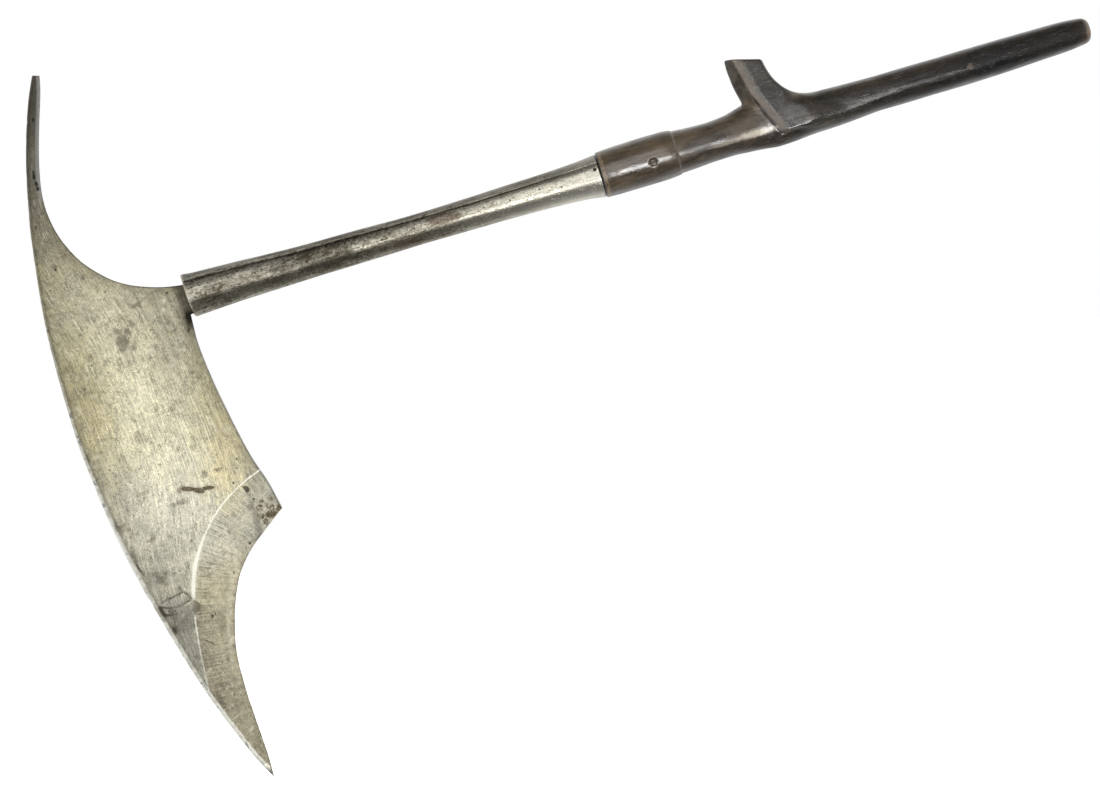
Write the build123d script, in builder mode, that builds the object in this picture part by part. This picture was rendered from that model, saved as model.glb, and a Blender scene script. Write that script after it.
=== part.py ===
from build123d import *
import math
import os

# Socketed hand scythe: a large flat crescent blade whose tang is fixed in the end
# of a rolled iron socket tube, and a carved wooden handle with a thumb spur, held
# to the tube's mouth by a tapered tenon core, a collar peg and a socket nail.
#
# Frame: +X runs along the haft's axis from the blade to the butt of the grip, +Z is
# the side the spur and the blade's spike point to, Y is across the blade's thickness.
# The origin is on the haft's axis at the middle of the round part of the grip, where
# the tool is held. Stations along the haft are measured from the tube's blade end, and
# the plane helpers below place them in the frame. Millimetres.

# ---------------------------------------------------------------- driving sizes
blade_t = 3.2            # plate thickness
edge_land = 0.7          # thickness left at a ground edge
edge_bevel_w = 3.6       # width of the sharpened bevel on the convex edge
edge_stretch = 3.0       # how far that bevel runs past each end of the edge
hollow_overrun = 4.0     # how far each bevel cutter reaches past its edge
convex_overrun = 3.0
cutter_h = 2.0           # height of the bevel cutters above the plate's face
tang_t = 2.8             # tang, thinned a little on both faces
tang_len = 92.0          # length of tang inside the tube

tube_len = 343.0         # rolled socket tube
tube_wall = 2.4
lap_step = 0.9           # thickness of the lapped flap at the seam
lap_angle = 50.0         # seam, degrees up from the -Y side
lap_fade = 200.0         # degrees round the tube over which the step fades out

joint_gap = 1.0          # gap between the tube's mouth and the handle's collar
collar_x0 = tube_len + joint_gap
collar_end = 407.0       # right end of the collar, where the step is
grip_r = 14.0            # round part of the grip
grip_x0, grip_x1 = 575.0, 640.0
grip_end_r = grip_r - 0.1    # oval sections that run into the round part
waist_lap = 4.0          # overlap of the waist into the collar
grip_lap = 5.0           # overlap of the waist and the tail into the round part
handle_end = 751.0
origin_x = (grip_x0 + grip_x1) / 2   # station of the frame's origin

facet_y = 14.0           # half thickness of the spur and its flat facets
keel_y = 4.0             # half width of the spur's keel
spur_cut_half = 40.0     # half width of the cutter that trims the spur's top

core_x0 = 238.0          # deep end of the tenon core in the tube
core_blank_r = 40.0      # blank, larger than the tube's bore
tenon_r = 11.0           # round tenon inside the collar
tenon_end = 401.0
tenon_end_gap = 1.0      # space past the tenon's end in its bore
fit_gap = 0.04           # radial clearance of the wooden and pinned joints

drill_y = -30.0          # pin holes are cut along +Y from here, outside the haft
peg_x, peg_z = 385.7, -3.4
peg_r = 2.4
peg_y0, peg_len = -18.9, 37.4
peg_chamfer = 0.5
peg_ring_w = 2.0         # width of the shallow ring around the peg's mouth
peg_ring_y = -18.3       # floor of that ring
nail_x, nail_z = 339.4, 4.2
nail_r = 1.1
nail_y0, nail_len = -16.4, 12.0
nail_hole_y = -4.0       # bottom of the nail hole in the core

# blade outline, (station, z)
convex_edge = [(-70.4, 204.7), (-81.8, 179.5), (-95.2, 137.6), (-106.8, 86.8),
               (-114.8, 30.8), (-118.8, -34.8), (-118.4, -89.0), (-115.2, -127.6),
               (-108.4, -179.7), (-97.1, -233.0), (-82.8, -287.3), (-64.0, -342.9),
               (-43.2, -388.2)]
inner_edge = [(-64.8, 203.0), (-69.7, 184.3), (-79.8, 153.9), (-88.0, 123.0),
              (-90.3, 106.9), (-89.8, 90.1), (-85.6, 72.2), (-76.5, 52.8),
              (-56.2, 30.2), (-42.8, 21.6), (-27.9, 15.7), (-15.6, 12.1), (0.0, 10.0)]
back_edge = [(-2.7, -14.4), (-3.8, -35.3), (-2.7, -52.3), (1.9, -87.0),
             (6.5, -113.4), (12.3, -140.2), (18.6, -160.5), (23.7, -183.4)]
hollow_edge = [back_edge[-1], (13.5, -190.5), (-3.0, -202.4), (-16.5, -215.1),
               (-26.1, -228.9), (-33.0, -243.6), (-40.2, -266.5), (-43.9, -284.0),
               (-45.3, -315.0), (-44.2, -348.8), convex_edge[-1]]
neck_bottom = (0.0, back_edge[0][1])

# tang outline before it is trimmed to the bore, (station, z)
tang_outline = [(-6, 9.0), (tang_len - 4, 9.2), (tang_len, 5.0), (tang_len, -8.0),
                (tang_len - 4, -12.5), (0.2, -17.0), (0.2, -14.0), (-6, -13.0)]

# broad ground bevel on the lower, hollow side: (ridge point, edge point) pairs
hollow_bevel = [((18.6, -148.0), (24.6, -183.0)), ((-0.5, -155.2), (13.5, -190.5)),
                ((-19.2, -165.4), (5.6, -196.4)), ((-33.8, -177.9), (-10.0, -208.7)),
                ((-45.8, -192.0), (-21.8, -221.9)), ((-54.6, -205.2), (-29.6, -236.2)),
                ((-62.1, -222.6), (-36.7, -254.0)), ((-68.0, -248.0), (-42.5, -276.0)),
                ((-71.9, -280.7), (-45.0, -302.0)), ((-74.4, -311.0), (-44.9, -334.0)),
                ((-63.4, -344.0), (-43.8, -362.0)), ((-50.0, -376.5), (-43.2, -384.0))]

# tube sections: station, outer radius, centre height
tube_rows = [(0.0, 17.25, -0.15), (32.0, 15.75, -0.05), (64.0, 14.45, -0.35),
             (96.0, 13.45, -0.75), (144.0, 12.75, -0.85), (192.0, 12.05, -0.95),
             (232.0, 12.4, -0.8), (272.0, 13.05, -0.55), (304.0, 13.95, -0.6),
             (328.0, 15.3, -0.7), (tube_len, 17.1, -1.1)]

# handle sections: station, top, bottom, half width in Y
collar_rows = [(collar_x0, 18.1, -18.8, 18.3), (356.0, 18.8, -19.2, 19.0),
               (384.0, 19.4, -19.1, 19.2), (398.0, 19.3, -18.7, 18.9),
               (collar_end, 18.2, -17.9, 18.0)]
waist_rows = [(collar_end - waist_lap, 17.4, -17.2, 17.2),
              (collar_end, 17.4, -17.2, 17.2), (418.0, 16.6, -16.8, 16.4),
              (434.0, 16.0, -15.8, 15.6), (450.0, 17.3, -15.5, 14.6),
              (463.0, 20.4, -16.3, 13.4), (476.0, 24.0, -17.4, 12.4),
              (488.0, 26.0, -18.6, 12.2), (500.0, 23.6, -18.2, 13.4),
              (514.0, 16.4, -17.2, 14.4), (534.0, 15.2, -16.4, 14.6),
              (556.0, 14.3, -15.1, 14.2),
              (grip_x0, grip_end_r, -grip_end_r, grip_end_r),
              (grip_x0 + grip_lap, grip_end_r, -grip_end_r, grip_end_r)]
tail_rows = [(grip_x1 - grip_lap, grip_end_r, -grip_end_r, grip_end_r),
             (grip_x1, grip_end_r, -grip_end_r, grip_end_r), (680.0, 13.9, -12.9, 13.4),
             (712.0, 13.6, -11.6, 12.6), (732.0, 13.0, -10.7, 11.9),
             (743.0, 12.2, -9.6, 10.9), (748.5, 9.6, -6.6, 8.1),
             (handle_end, 5.2, -2.2, 3.8)]

# spur sections: z, then the stations of the keel, the shoulder and the right side
spur_rows = [(-9.5, 479.0, 492.0, 546.0), (2.0, 474.0, 487.0, 534.0),
             (15.6, 470.0, 481.0, 514.0), (26.1, 467.2, 476.8, 502.0),
             (39.1, 464.6, 473.6, 494.9), (52.0, 463.5, 470.6, 492.2),
             (58.2, 463.8, 469.0, 491.8)]
# region cut off above the spur, (station, z)
spur_top_cut = [(460, 58.6), (466.5, 58.6), (493, 50.9), (505, 47.0), (505, 70), (460, 70)]


# ---------------------------------------------------------------------- planes
def section_plane(x):
    """Plane across the haft's axis at a station: local x is +Y, local y is +Z."""
    return Plane(origin=(x - origin_x, 0, 0), x_dir=(0, 1, 0), z_dir=(1, 0, 0))


def side_plane(y):
    """Plane along the haft, facing -Y: local x is the station, local y is +Z."""
    return Plane(origin=(-origin_x, y, 0), x_dir=(1, 0, 0), z_dir=(0, -1, 0))


def level_plane(z):
    """Level plane: local x is the station, local y is +Y."""
    return Plane(origin=(-origin_x, 0, z), x_dir=(1, 0, 0), z_dir=(0, 0, 1))


def pin_plane(x, y, z):
    """Plane for a pin that runs along +Y from a point at a station."""
    return Plane(origin=(x - origin_x, y, z), x_dir=(1, 0, 0), z_dir=(0, 1, 0))


def bevel_plane(ridge, edge):
    """Plane through a ridge-to-edge line and across the plate, and the line's length.

    Local x runs from the ridge to the edge, local y runs towards -Y."""
    dx, dz = edge[0] - ridge[0], edge[1] - ridge[1]
    width = math.hypot(dx, dz)
    across = Vector(dx / width, 0, dz / width)
    normal = across.cross(Vector(0, -1, 0))
    origin = (ridge[0] - origin_x, 0, ridge[1])
    return Plane(origin=origin, x_dir=across, z_dir=normal), width


# -------------------------------------------------------------- points and rows
def lap_profile(radius, centre_z):
    """Points of a rolled section, from the flap's edge once round to the inner layer."""
    points = []
    for i in range(25):
        turn = 360.0 * i / 24
        r = radius + lap_step * max(0.0, 1.0 - turn / lap_fade)
        angle = math.radians(lap_angle + turn)
        points.append((-r * math.cos(angle), centre_z + r * math.sin(angle)))
    return points


def oval_profile(top, bottom, half_y):
    """Points round an oval section from its +Y side, 350 degrees round."""
    centre_z, half_z = (top + bottom) / 2, (top - bottom) / 2
    return [(half_y * math.cos(math.radians(t)), centre_z + half_z * math.sin(math.radians(t)))
            for t in range(0, 351, 14)]


def smooth_rows(rows, step=9.0):
    """Sections between the given ones, on smooth curves that never overshoot them."""
    xs = [row[0] for row in rows]
    columns = list(zip(*rows))[1:]
    slopes = []
    for col in columns:
        d = [(col[i + 1] - col[i]) / (xs[i + 1] - xs[i]) for i in range(len(xs) - 1)]
        # harmonic mean of neighbouring slopes, flat at a peak or a dip
        inner = [0.0 if a * b <= 0 else 2 * a * b / (a + b) for a, b in zip(d, d[1:])]
        slopes.append([d[0]] + inner + [d[-1]])
    out = []
    for i in range(len(xs) - 1):
        h = xs[i + 1] - xs[i]
        count = max(1, round(h / step))
        for k in range(count):
            t = k / count
            row = [xs[i] + h * t]
            for col, m in zip(columns, slopes):
                row.append((2 * t**3 - 3 * t**2 + 1) * col[i] + (t**3 - 2 * t**2 + t) * h * m[i]
                           + (3 * t**2 - 2 * t**3) * col[i + 1] + (t**3 - t**2) * h * m[i + 1])
            out.append(tuple(row))
    return out + [tuple(rows[-1])]


def edge_stations(points, width):
    """(ridge, edge) pairs along an edge, the ridge set in to the left of its direction."""
    out = []
    for i, p in enumerate(points):
        before = points[max(0, i - 1)]
        after = points[min(len(points) - 1, i + 1)]
        tx, tz = after[0] - before[0], after[1] - before[1]
        n = math.hypot(tx, tz)
        out.append(((p[0] - tz / n * width, p[1] + tx / n * width), p))
    return out


def stretched(points, distance):
    """An edge's points, its first and last moved outwards along the edge."""
    def moved(p, q):
        n = math.hypot(p[0] - q[0], p[1] - q[1])
        return (p[0] + (p[0] - q[0]) / n * distance, p[1] + (p[1] - q[1]) / n * distance)
    return [moved(points[0], points[1])] + points[1:-1] + [moved(points[-1], points[-2])]


# --------------------------------------------------------------- shared bodies
def bore_body(clearance):
    """Space inside the rolled tube, less a radial clearance."""
    with BuildPart() as bore:
        for x, radius, centre_z in tube_rows:
            with BuildSketch(section_plane(x)):
                with Locations((0, centre_z)):
                    Circle(radius - tube_wall - clearance)
        loft()
    return bore.part


def oval_body(rows):
    """Length of the handle through smoothed oval sections."""
    with BuildPart() as body:
        for x, top, bottom, half_y in smooth_rows(rows):
            points = oval_profile(top, bottom, half_y)
            with BuildSketch(section_plane(x)):
                with BuildLine():
                    Spline(*points)
                    Line(points[-1], points[0])
                make_face()
        loft(ruled=True)
    return body.part


# ---------------------------------------------------------------------- pieces
def build_blade():
    """Flat ground plate with its tang."""
    bore_fill = bore_body(fit_gap)
    with BuildPart() as tang:
        with BuildSketch(side_plane(tang_t / 2)):
            with BuildLine():
                Polyline(*tang_outline, close=True)
            make_face()
        extrude(amount=tang_t)
        split(bisect_by=section_plane(0), keep=Keep.TOP)
        add(bore_fill, mode=Mode.INTERSECT)

    # broad bevel on the hollow edge, then the sharpened bevel along the convex edge
    convex_bevel = edge_stations(stretched(convex_edge, edge_stretch), edge_bevel_w)
    bevels = [(hollow_bevel, hollow_overrun), (convex_bevel, convex_overrun)]
    face = blade_t / 2
    with BuildPart() as blade:
        with BuildSketch(side_plane(face)):
            with BuildLine():
                Spline(*convex_edge)
                Spline(*hollow_edge)
                Spline(*back_edge)
                Line(back_edge[0], neck_bottom)
                Line(neck_bottom, inner_edge[-1])
                Spline(*inner_edge)
                Line(inner_edge[0], convex_edge[0])
            make_face()
        extrude(amount=blade_t)
        # both bevels are ground on the -Y face
        for pairs, overrun in bevels:
            for ridge, edge in pairs:
                plane, width = bevel_plane(ridge, edge)
                far = width + overrun
                drop = (blade_t - edge_land) * far / width
                with BuildSketch(plane):
                    with BuildLine():
                        Polyline((0, face), (far, face - drop), (far, face + cutter_h),
                                 (0, face + cutter_h), close=True)
                    make_face()
            loft(ruled=True, mode=Mode.SUBTRACT)
        add(tang.part)
    return blade.part


def build_socket_tube():
    """Sheet rolled to a flared tube, its edge lapped over on the spur side."""
    bore = bore_body(0.0)
    with BuildPart() as tube:
        for x, radius, centre_z in tube_rows:
            points = lap_profile(radius, centre_z)
            with BuildSketch(section_plane(x)):
                with BuildLine():
                    Spline(*points)
                    Line(points[-1], points[0])
                make_face()
        loft()
        add(bore, mode=Mode.SUBTRACT)
        # nail hole near the mouth, through the -Y wall only
        with BuildSketch(pin_plane(nail_x, drill_y, nail_z)):
            Circle(nail_r + fit_gap)
        extrude(amount=-drill_y, mode=Mode.SUBTRACT)
    return tube.part


def build_tenon_core():
    """Core that fills the tube's mouth, with a round tenon for the collar."""
    bore_fill = bore_body(fit_gap)
    with BuildPart() as plug:
        with BuildSketch(section_plane(core_x0)):
            Circle(core_blank_r)
        extrude(amount=tube_len - core_x0)
        add(bore_fill, mode=Mode.INTERSECT)

    with BuildPart() as core:
        add(plug.part)
        with BuildSketch(section_plane(tube_len)):
            Circle(tenon_r - fit_gap)
        extrude(amount=tenon_end - tube_len)
        # through hole for the collar peg, blind hole for the socket nail
        with BuildSketch(pin_plane(peg_x, drill_y, peg_z)):
            Circle(peg_r + fit_gap)
        extrude(amount=-2 * drill_y, mode=Mode.SUBTRACT)
        with BuildSketch(pin_plane(nail_x, drill_y, nail_z)):
            Circle(nail_r + fit_gap)
        extrude(amount=nail_hole_y - drill_y, mode=Mode.SUBTRACT)
    return core.part


def build_spur():
    """Thumb spur: keel on the blade side, flat facets to each side, flat cut top."""
    with BuildPart() as spur:
        for z, keel, shoulder, right in spur_rows:
            with BuildSketch(level_plane(z)):
                with BuildLine():
                    Polyline((keel, -keel_y), (shoulder, -facet_y), (right, -facet_y),
                             (right, facet_y), (shoulder, facet_y), (keel, keel_y), close=True)
                make_face()
        loft(ruled=True)
        # the top falls towards the grip
        with BuildSketch(side_plane(spur_cut_half)):
            with BuildLine():
                Polyline(*spur_top_cut, close=True)
            make_face()
        extrude(amount=2 * spur_cut_half, mode=Mode.SUBTRACT)
    return spur.part


def build_handle():
    """Collar, waist, grip and spur in one piece, bored for the tenon and the peg."""
    collar = oval_body(collar_rows)
    waist = oval_body(waist_rows)
    tail = oval_body(tail_rows)
    spur = build_spur()
    with BuildPart() as handle:
        add(collar)
        add(waist)
        # round part of the grip
        with BuildSketch(section_plane(grip_x0)):
            Circle(grip_r)
        extrude(amount=grip_x1 - grip_x0)
        add(tail)
        add(spur)
        # blind bore for the tenon
        with BuildSketch(section_plane(collar_x0)):
            Circle(tenon_r)
        extrude(amount=tenon_end + tenon_end_gap - collar_x0, mode=Mode.SUBTRACT)
        # peg hole right through the collar, with a shallow ring around its -Y mouth
        with BuildSketch(pin_plane(peg_x, drill_y, peg_z)):
            Circle(peg_r + fit_gap)
        extrude(amount=-2 * drill_y, mode=Mode.SUBTRACT)
        with BuildSketch(pin_plane(peg_x, drill_y, peg_z)):
            Circle(peg_r + peg_ring_w)
        extrude(amount=peg_ring_y - drill_y, mode=Mode.SUBTRACT)
    return handle.part


def build_collar_peg():
    """Round peg through the collar and tenon, chamfered at its -Y end."""
    with BuildPart() as peg:
        with BuildSketch(pin_plane(peg_x, peg_y0, peg_z)):
            Circle(peg_r)
        extrude(amount=peg_len)
        chamfer(peg.faces().sort_by(Axis.Y)[0].edges(), length=peg_chamfer)
    return peg.part


def build_socket_nail():
    """Plain round nail through the tube's wall into the core."""
    with BuildPart() as nail:
        with BuildSketch(pin_plane(nail_x, nail_y0, nail_z)):
            Circle(nail_r)
        extrude(amount=nail_len)
    return nail.part


pieces = {
    "blade": build_blade,
    "socket_tube": build_socket_tube,
    "tenon_core": build_tenon_core,
    "handle": build_handle,
    "collar_peg": build_collar_peg,
    "socket_nail": build_socket_nail,
}

os.makedirs("parts", exist_ok=True)
for name, build in pieces.items():
    part = build()
    part.label = name
    export_step(part, f"parts/{name}.step")
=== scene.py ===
"""A hafted blade: a curved steel plate, a rolled iron tube and a carved wooden handle.

The haft runs along +X. The blade stands at its low-x end with the spike up (+Z) and the
point down (-Z). The camera looks along +Y, so the near face of every piece faces -Y.
"""
import math

import bpy
import numpy as np
from mathutils import Matrix, Vector
from mathutils.geometry import delaunay_2d_cdt


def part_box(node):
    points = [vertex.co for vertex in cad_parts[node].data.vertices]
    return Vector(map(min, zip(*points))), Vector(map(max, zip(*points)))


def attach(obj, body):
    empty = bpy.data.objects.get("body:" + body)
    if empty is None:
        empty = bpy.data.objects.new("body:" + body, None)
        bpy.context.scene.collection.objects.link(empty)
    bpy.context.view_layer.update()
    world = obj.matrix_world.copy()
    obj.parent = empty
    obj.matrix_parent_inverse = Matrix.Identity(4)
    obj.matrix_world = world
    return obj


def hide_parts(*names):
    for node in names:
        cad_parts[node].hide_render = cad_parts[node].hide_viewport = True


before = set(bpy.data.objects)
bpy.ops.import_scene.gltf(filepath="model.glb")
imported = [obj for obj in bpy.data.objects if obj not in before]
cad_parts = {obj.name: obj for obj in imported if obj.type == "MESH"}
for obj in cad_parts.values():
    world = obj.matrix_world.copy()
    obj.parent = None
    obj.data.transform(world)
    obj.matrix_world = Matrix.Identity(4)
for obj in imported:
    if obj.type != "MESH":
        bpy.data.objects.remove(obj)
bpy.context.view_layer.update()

# Shapes are in millimetres. Stations run along the haft from the tube's blade end.
MM = 0.001
TUBE_LENGTH = 343.0
X0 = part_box("socket_tube")[1][0] / MM - TUBE_LENGTH     # object x of station 0
BLADE_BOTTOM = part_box("blade")[0][2]                    # metres

# The camera's right and up axes as (x, z): the haft climbs to the right in the view.
VIEW_RIGHT = np.array([0.95918, -0.28281])
VIEW_UP = np.array([0.28281, 0.95918])

PEG_X, PEG_Z = 385.7, -3.4


# ----------------------------------------------------------------------------- numbers
def ease(start, end, x):
    """0 at start, 1 at end, smooth between; start may be the larger."""
    t = np.clip((np.asarray(x, float) - start) / (end - start), 0.0, 1.0)
    return t * t * (3.0 - 2.0 * t)


def lattice_hash(ix, iy, iz, seed):
    mixed = (ix.astype(np.int64) * 374761393 + iy.astype(np.int64) * 668265263
             + iz.astype(np.int64) * 1442695041 + seed * 974634777) & 0xFFFFFFFF
    mixed = ((mixed ^ (mixed >> 13)) * 1274126177) & 0xFFFFFFFF
    mixed = (mixed ^ (mixed >> 16)) & 0xFFFFFF
    return mixed / float(0xFFFFFF) * 2.0 - 1.0


def value_noise(points, seed):
    """Smooth value noise in -1..1 at points (n, 3)."""
    cell = np.floor(points)
    part = points - cell
    part = part * part * (3 - 2 * part)
    cell = cell.astype(np.int64)
    total = 0.0
    for i in (0, 1):
        wx = part[:, 0] if i else 1 - part[:, 0]
        for j in (0, 1):
            wy = part[:, 1] if j else 1 - part[:, 1]
            for k in (0, 1):
                wz = part[:, 2] if k else 1 - part[:, 2]
                corner = lattice_hash(cell[:, 0] + i, cell[:, 1] + j, cell[:, 2] + k, seed)
                total = total + corner * wx * wy * wz
    return total


def lumps(points, size, octaves, seed):
    """Layered noise with lumps about size across; size is one number or one per axis."""
    scaled = np.asarray(points, float) / np.asarray(size, float)
    total, weight, weights = 0.0, 1.0, 0.0
    for octave in range(octaves):
        total = total + weight * value_noise(scaled + 17.3 * octave, seed + octave)
        weights += weight
        scaled = scaled * 2.03
        weight *= 0.5
    return total / weights


def monotone(knots, values, x):
    """Monotone cubic (Fritsch-Carlson) interpolation."""
    knots = np.asarray(knots, float)
    values = np.asarray(values, float)
    gap = np.diff(knots)
    rise = np.diff(values) / gap
    slope = np.zeros_like(values)
    slope[0], slope[-1] = rise[0], rise[-1]
    for k in range(1, len(knots) - 1):
        if rise[k - 1] * rise[k] > 0:
            before = 2 * gap[k] + gap[k - 1]
            after = gap[k] + 2 * gap[k - 1]
            slope[k] = (before + after) / (before / rise[k - 1] + after / rise[k])
    x = np.clip(np.asarray(x, float), knots[0], knots[-1])
    k = np.clip(np.searchsorted(knots, x, side="right") - 1, 0, len(knots) - 2)
    t = (x - knots[k]) / gap[k]
    t2, t3 = t * t, t * t * t
    return ((2 * t3 - 3 * t2 + 1) * values[k] + (t3 - 2 * t2 + t) * gap[k] * slope[k]
            + (-2 * t3 + 3 * t2) * values[k + 1] + (t3 - t2) * gap[k] * slope[k + 1])


# ----------------------------------------------------------------------------- plane curves
def resample(points, step, soften):
    """Catmull-Rom curve through points, cut at even steps; soften evens out its wobble."""
    p = np.asarray(points, float)
    padded = np.vstack([2 * p[0] - p[1], p, 2 * p[-1] - p[-2]])
    dense = []
    t = np.linspace(0, 1, 24, endpoint=False)[:, None]
    for k in range(1, len(padded) - 2):
        a, b, c, d = padded[k - 1:k + 3]
        dense.append(0.5 * (2 * b + (c - a) * t + (2 * a - 5 * b + 4 * c - d) * t ** 2
                            + (3 * b - a - 3 * c + d) * t ** 3))
    dense.append(p[-1][None])
    dense = np.vstack(dense)
    run = np.concatenate([[0], np.cumsum(np.hypot(*np.diff(dense, axis=0).T))])
    count = max(2, int(round(run[-1] / step)))
    even = np.linspace(0, run[-1], count + 1)
    line = np.column_stack([np.interp(even, run, dense[:, k]) for k in (0, 1)])
    reach = min(int(round(soften / (run[-1] / count) * 2.5)), count // 3)
    weights = np.exp(-0.5 * (np.arange(-reach, reach + 1) / (reach / 2.5)) ** 2)
    weights /= weights.sum()
    padded = np.vstack([2 * line[0] - line[reach:0:-1], line,
                        2 * line[-1] - line[-2:-reach - 2:-1]])
    smooth = np.column_stack([np.convolve(padded[:, k], weights, mode="valid") for k in (0, 1)])
    smooth[0], smooth[-1] = line[0], line[-1]
    return smooth


def nearest_on(points, line):
    """Distance from points (n, 2) to a polyline, and where along it (0..1) the nearest is."""
    best = np.full(len(points), 1e9)
    along = np.zeros(len(points))
    lengths = np.hypot(*np.diff(line, axis=0).T)
    run = np.concatenate([[0], np.cumsum(lengths)])
    for k in range(len(line) - 1):
        start = line[k]
        span = line[k + 1] - start
        t = np.clip(((points - start) @ span) / max(span @ span, 1e-12), 0, 1)
        dist = np.hypot(*(points - start - t[:, None] * span).T)
        closer = dist < best
        best[closer] = dist[closer]
        along[closer] = (run[k] + t[closer] * lengths[k]) / run[-1]
    return best, along


def inside_polygon(points, polygon):
    x, z = points[:, 0], points[:, 1]
    inside = np.zeros(len(points), bool)
    for (x1, z1), (x2, z2) in zip(polygon, np.roll(polygon, -1, axis=0)):
        if z1 == z2:
            continue
        crosses = (z1 > z) != (z2 > z)
        inside ^= crosses & (x < (x2 - x1) * (z - z1) / (z2 - z1) + x1)
    return inside


def normals(line):
    tangent = np.gradient(line, axis=0)
    tangent /= np.maximum(np.hypot(*tangent.T)[:, None], 1e-9)
    return np.column_stack([-tangent[:, 1], tangent[:, 0]])


def with_zero(points):
    """(n, 2) points with a zero third coordinate, as the noise takes them."""
    return np.column_stack([points, np.zeros(len(points))])


def add_mesh(name, points, faces, sharp_degrees=None, attributes=None):
    """A smooth-shaded mesh object from points in millimetres at the haft's stations."""
    metres = np.asarray(points, float) * MM
    metres[:, 0] += X0 * MM
    mesh = bpy.data.meshes.new(name)
    mesh.from_pydata(metres.tolist(), [], [list(map(int, face)) for face in faces])
    mesh.validate()
    mesh.update()
    mesh.polygons.foreach_set("use_smooth", [True] * len(mesh.polygons))
    for key, values in (attributes or {}).items():
        values = np.asarray(values, np.float32)
        if values.ndim == 1:
            mesh.attributes.new(key, "FLOAT", "POINT").data.foreach_set("value", values)
        else:
            layer = mesh.attributes.new(key, "FLOAT_VECTOR", "POINT")
            layer.data.foreach_set("vector", values.ravel())
    piece = bpy.data.objects.new(name, mesh)
    bpy.context.scene.collection.objects.link(piece)
    if sharp_degrees is not None:
        mesh.set_sharp_from_angle(angle=math.radians(sharp_degrees))
    return piece


# ----------------------------------------------------------------------------- shader graphs
def srgb(*rgb):
    """Screen colour 0..255 as linear light."""
    return tuple(c / 12.92 / 255 if c <= 10.3 else ((c / 255 + 0.055) / 1.055) ** 2.4
                 for c in rgb)


class Value:
    """A shader socket that takes part in sums and products; each one makes a node."""

    def __init__(self, graph, socket):
        self.graph = graph
        self.socket = socket

    def __add__(self, other): return self.graph.math("ADD", self, other)
    def __radd__(self, other): return self.graph.math("ADD", other, self)
    def __sub__(self, other): return self.graph.math("SUBTRACT", self, other)
    def __rsub__(self, other): return self.graph.math("SUBTRACT", other, self)
    def __mul__(self, other): return self.graph.math("MULTIPLY", self, other)
    def __rmul__(self, other): return self.graph.math("MULTIPLY", other, self)
    def __abs__(self): return self.graph.math("ABSOLUTE", self)
    def at_least(self, other): return self.graph.math("MAXIMUM", self, other)
    def at_most(self, other): return self.graph.math("MINIMUM", self, other)

    def swing(self, width):
        """Noise of 0..1 centred on zero and widened."""
        return (self - 0.5) * width

    def ease(self, start, end, low=0.0, high=1.0):
        """low at start and before it, high at end and past it, smooth between."""
        return self.graph.map_range("SMOOTHSTEP", self, start, end, low, high)

    def line(self, start, end, low=0.0, high=1.0):
        """As ease, but straight between."""
        return self.graph.map_range("LINEAR", self, start, end, low, high)


class Graph:
    """Short names for building a node tree."""

    def __init__(self, tree):
        self.tree = tree
        tree.nodes.clear()

    def node(self, kind, inputs=None, **settings):
        node = self.tree.nodes.new("ShaderNode" + kind)
        for key, setting in settings.items():
            setattr(node, key, setting)
        for key, value in (inputs or {}).items():
            self.put(node, key, value)
        return node

    def put(self, node, key, value):
        if isinstance(value, Value):
            self.tree.links.new(value.socket, node.inputs[key])
        else:
            node.inputs[key].default_value = value

    def value(self, kind, out, inputs, **settings):
        return Value(self, self.node(kind, inputs, **settings).outputs[out])

    def math(self, operation, *terms):
        return self.value("Math", 0, dict(enumerate(terms)), operation=operation)

    def map_range(self, interpolation, *terms):
        return self.value("MapRange", 0, dict(enumerate(terms)), interpolation_type=interpolation)

    def xyz(self, vector):
        split = self.node("SeparateXYZ", {0: vector})
        return [Value(self, out) for out in split.outputs]

    def attr(self, name, out="Fac"):
        return self.value("Attribute", out, {}, attribute_name=name)

    def stretch(self, vector, scale, shift=(0, 0, 0)):
        return self.value("Mapping", 0, {"Vector": vector, "Scale": scale, "Location": shift})

    def warp(self, vector, by, amount):
        terms = {0: by, 1: (amount,) * 3, 2: vector}
        return self.value("VectorMath", 0, terms, operation="MULTIPLY_ADD")

    def noise(self, vector, scale, detail, rough, distort=0.0,
              stretch=None, shift=(0, 0, 0), out="Fac"):
        if stretch:
            vector = self.stretch(vector, stretch, shift)
        return self.value("TexNoise", out, {"Vector": vector, "Scale": scale, "Detail": detail,
                                            "Roughness": rough, "Distortion": distort})

    def cells(self, vector, scale):
        """Distance to the nearest of scattered points."""
        return self.value("TexVoronoi", "Distance", {"Vector": vector, "Scale": scale})

    def mix(self, share, first, second):
        """Colours are values or linear triples."""
        inputs = {0: share}
        for key, colour in ((6, first), (7, second)):
            inputs[key] = colour if isinstance(colour, Value) else (*colour, 1.0)
        return self.value("Mix", 2, inputs, data_type="RGBA")

    def ramp(self, share, stops):
        """stops are (position, linear colour)."""
        node = self.node("ValToRGB", {0: share})
        elements = node.color_ramp.elements
        while len(elements) < len(stops):
            elements.new(0.5)
        for element, (position, colour) in zip(elements, stops):
            element.position = position
            element.color = (*colour, 1.0)
        return Value(self, node.outputs[0])

    def gain(self, colour, amount):
        return self.value("VectorMath", 0, {0: colour, "Scale": amount}, operation="SCALE")


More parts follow.
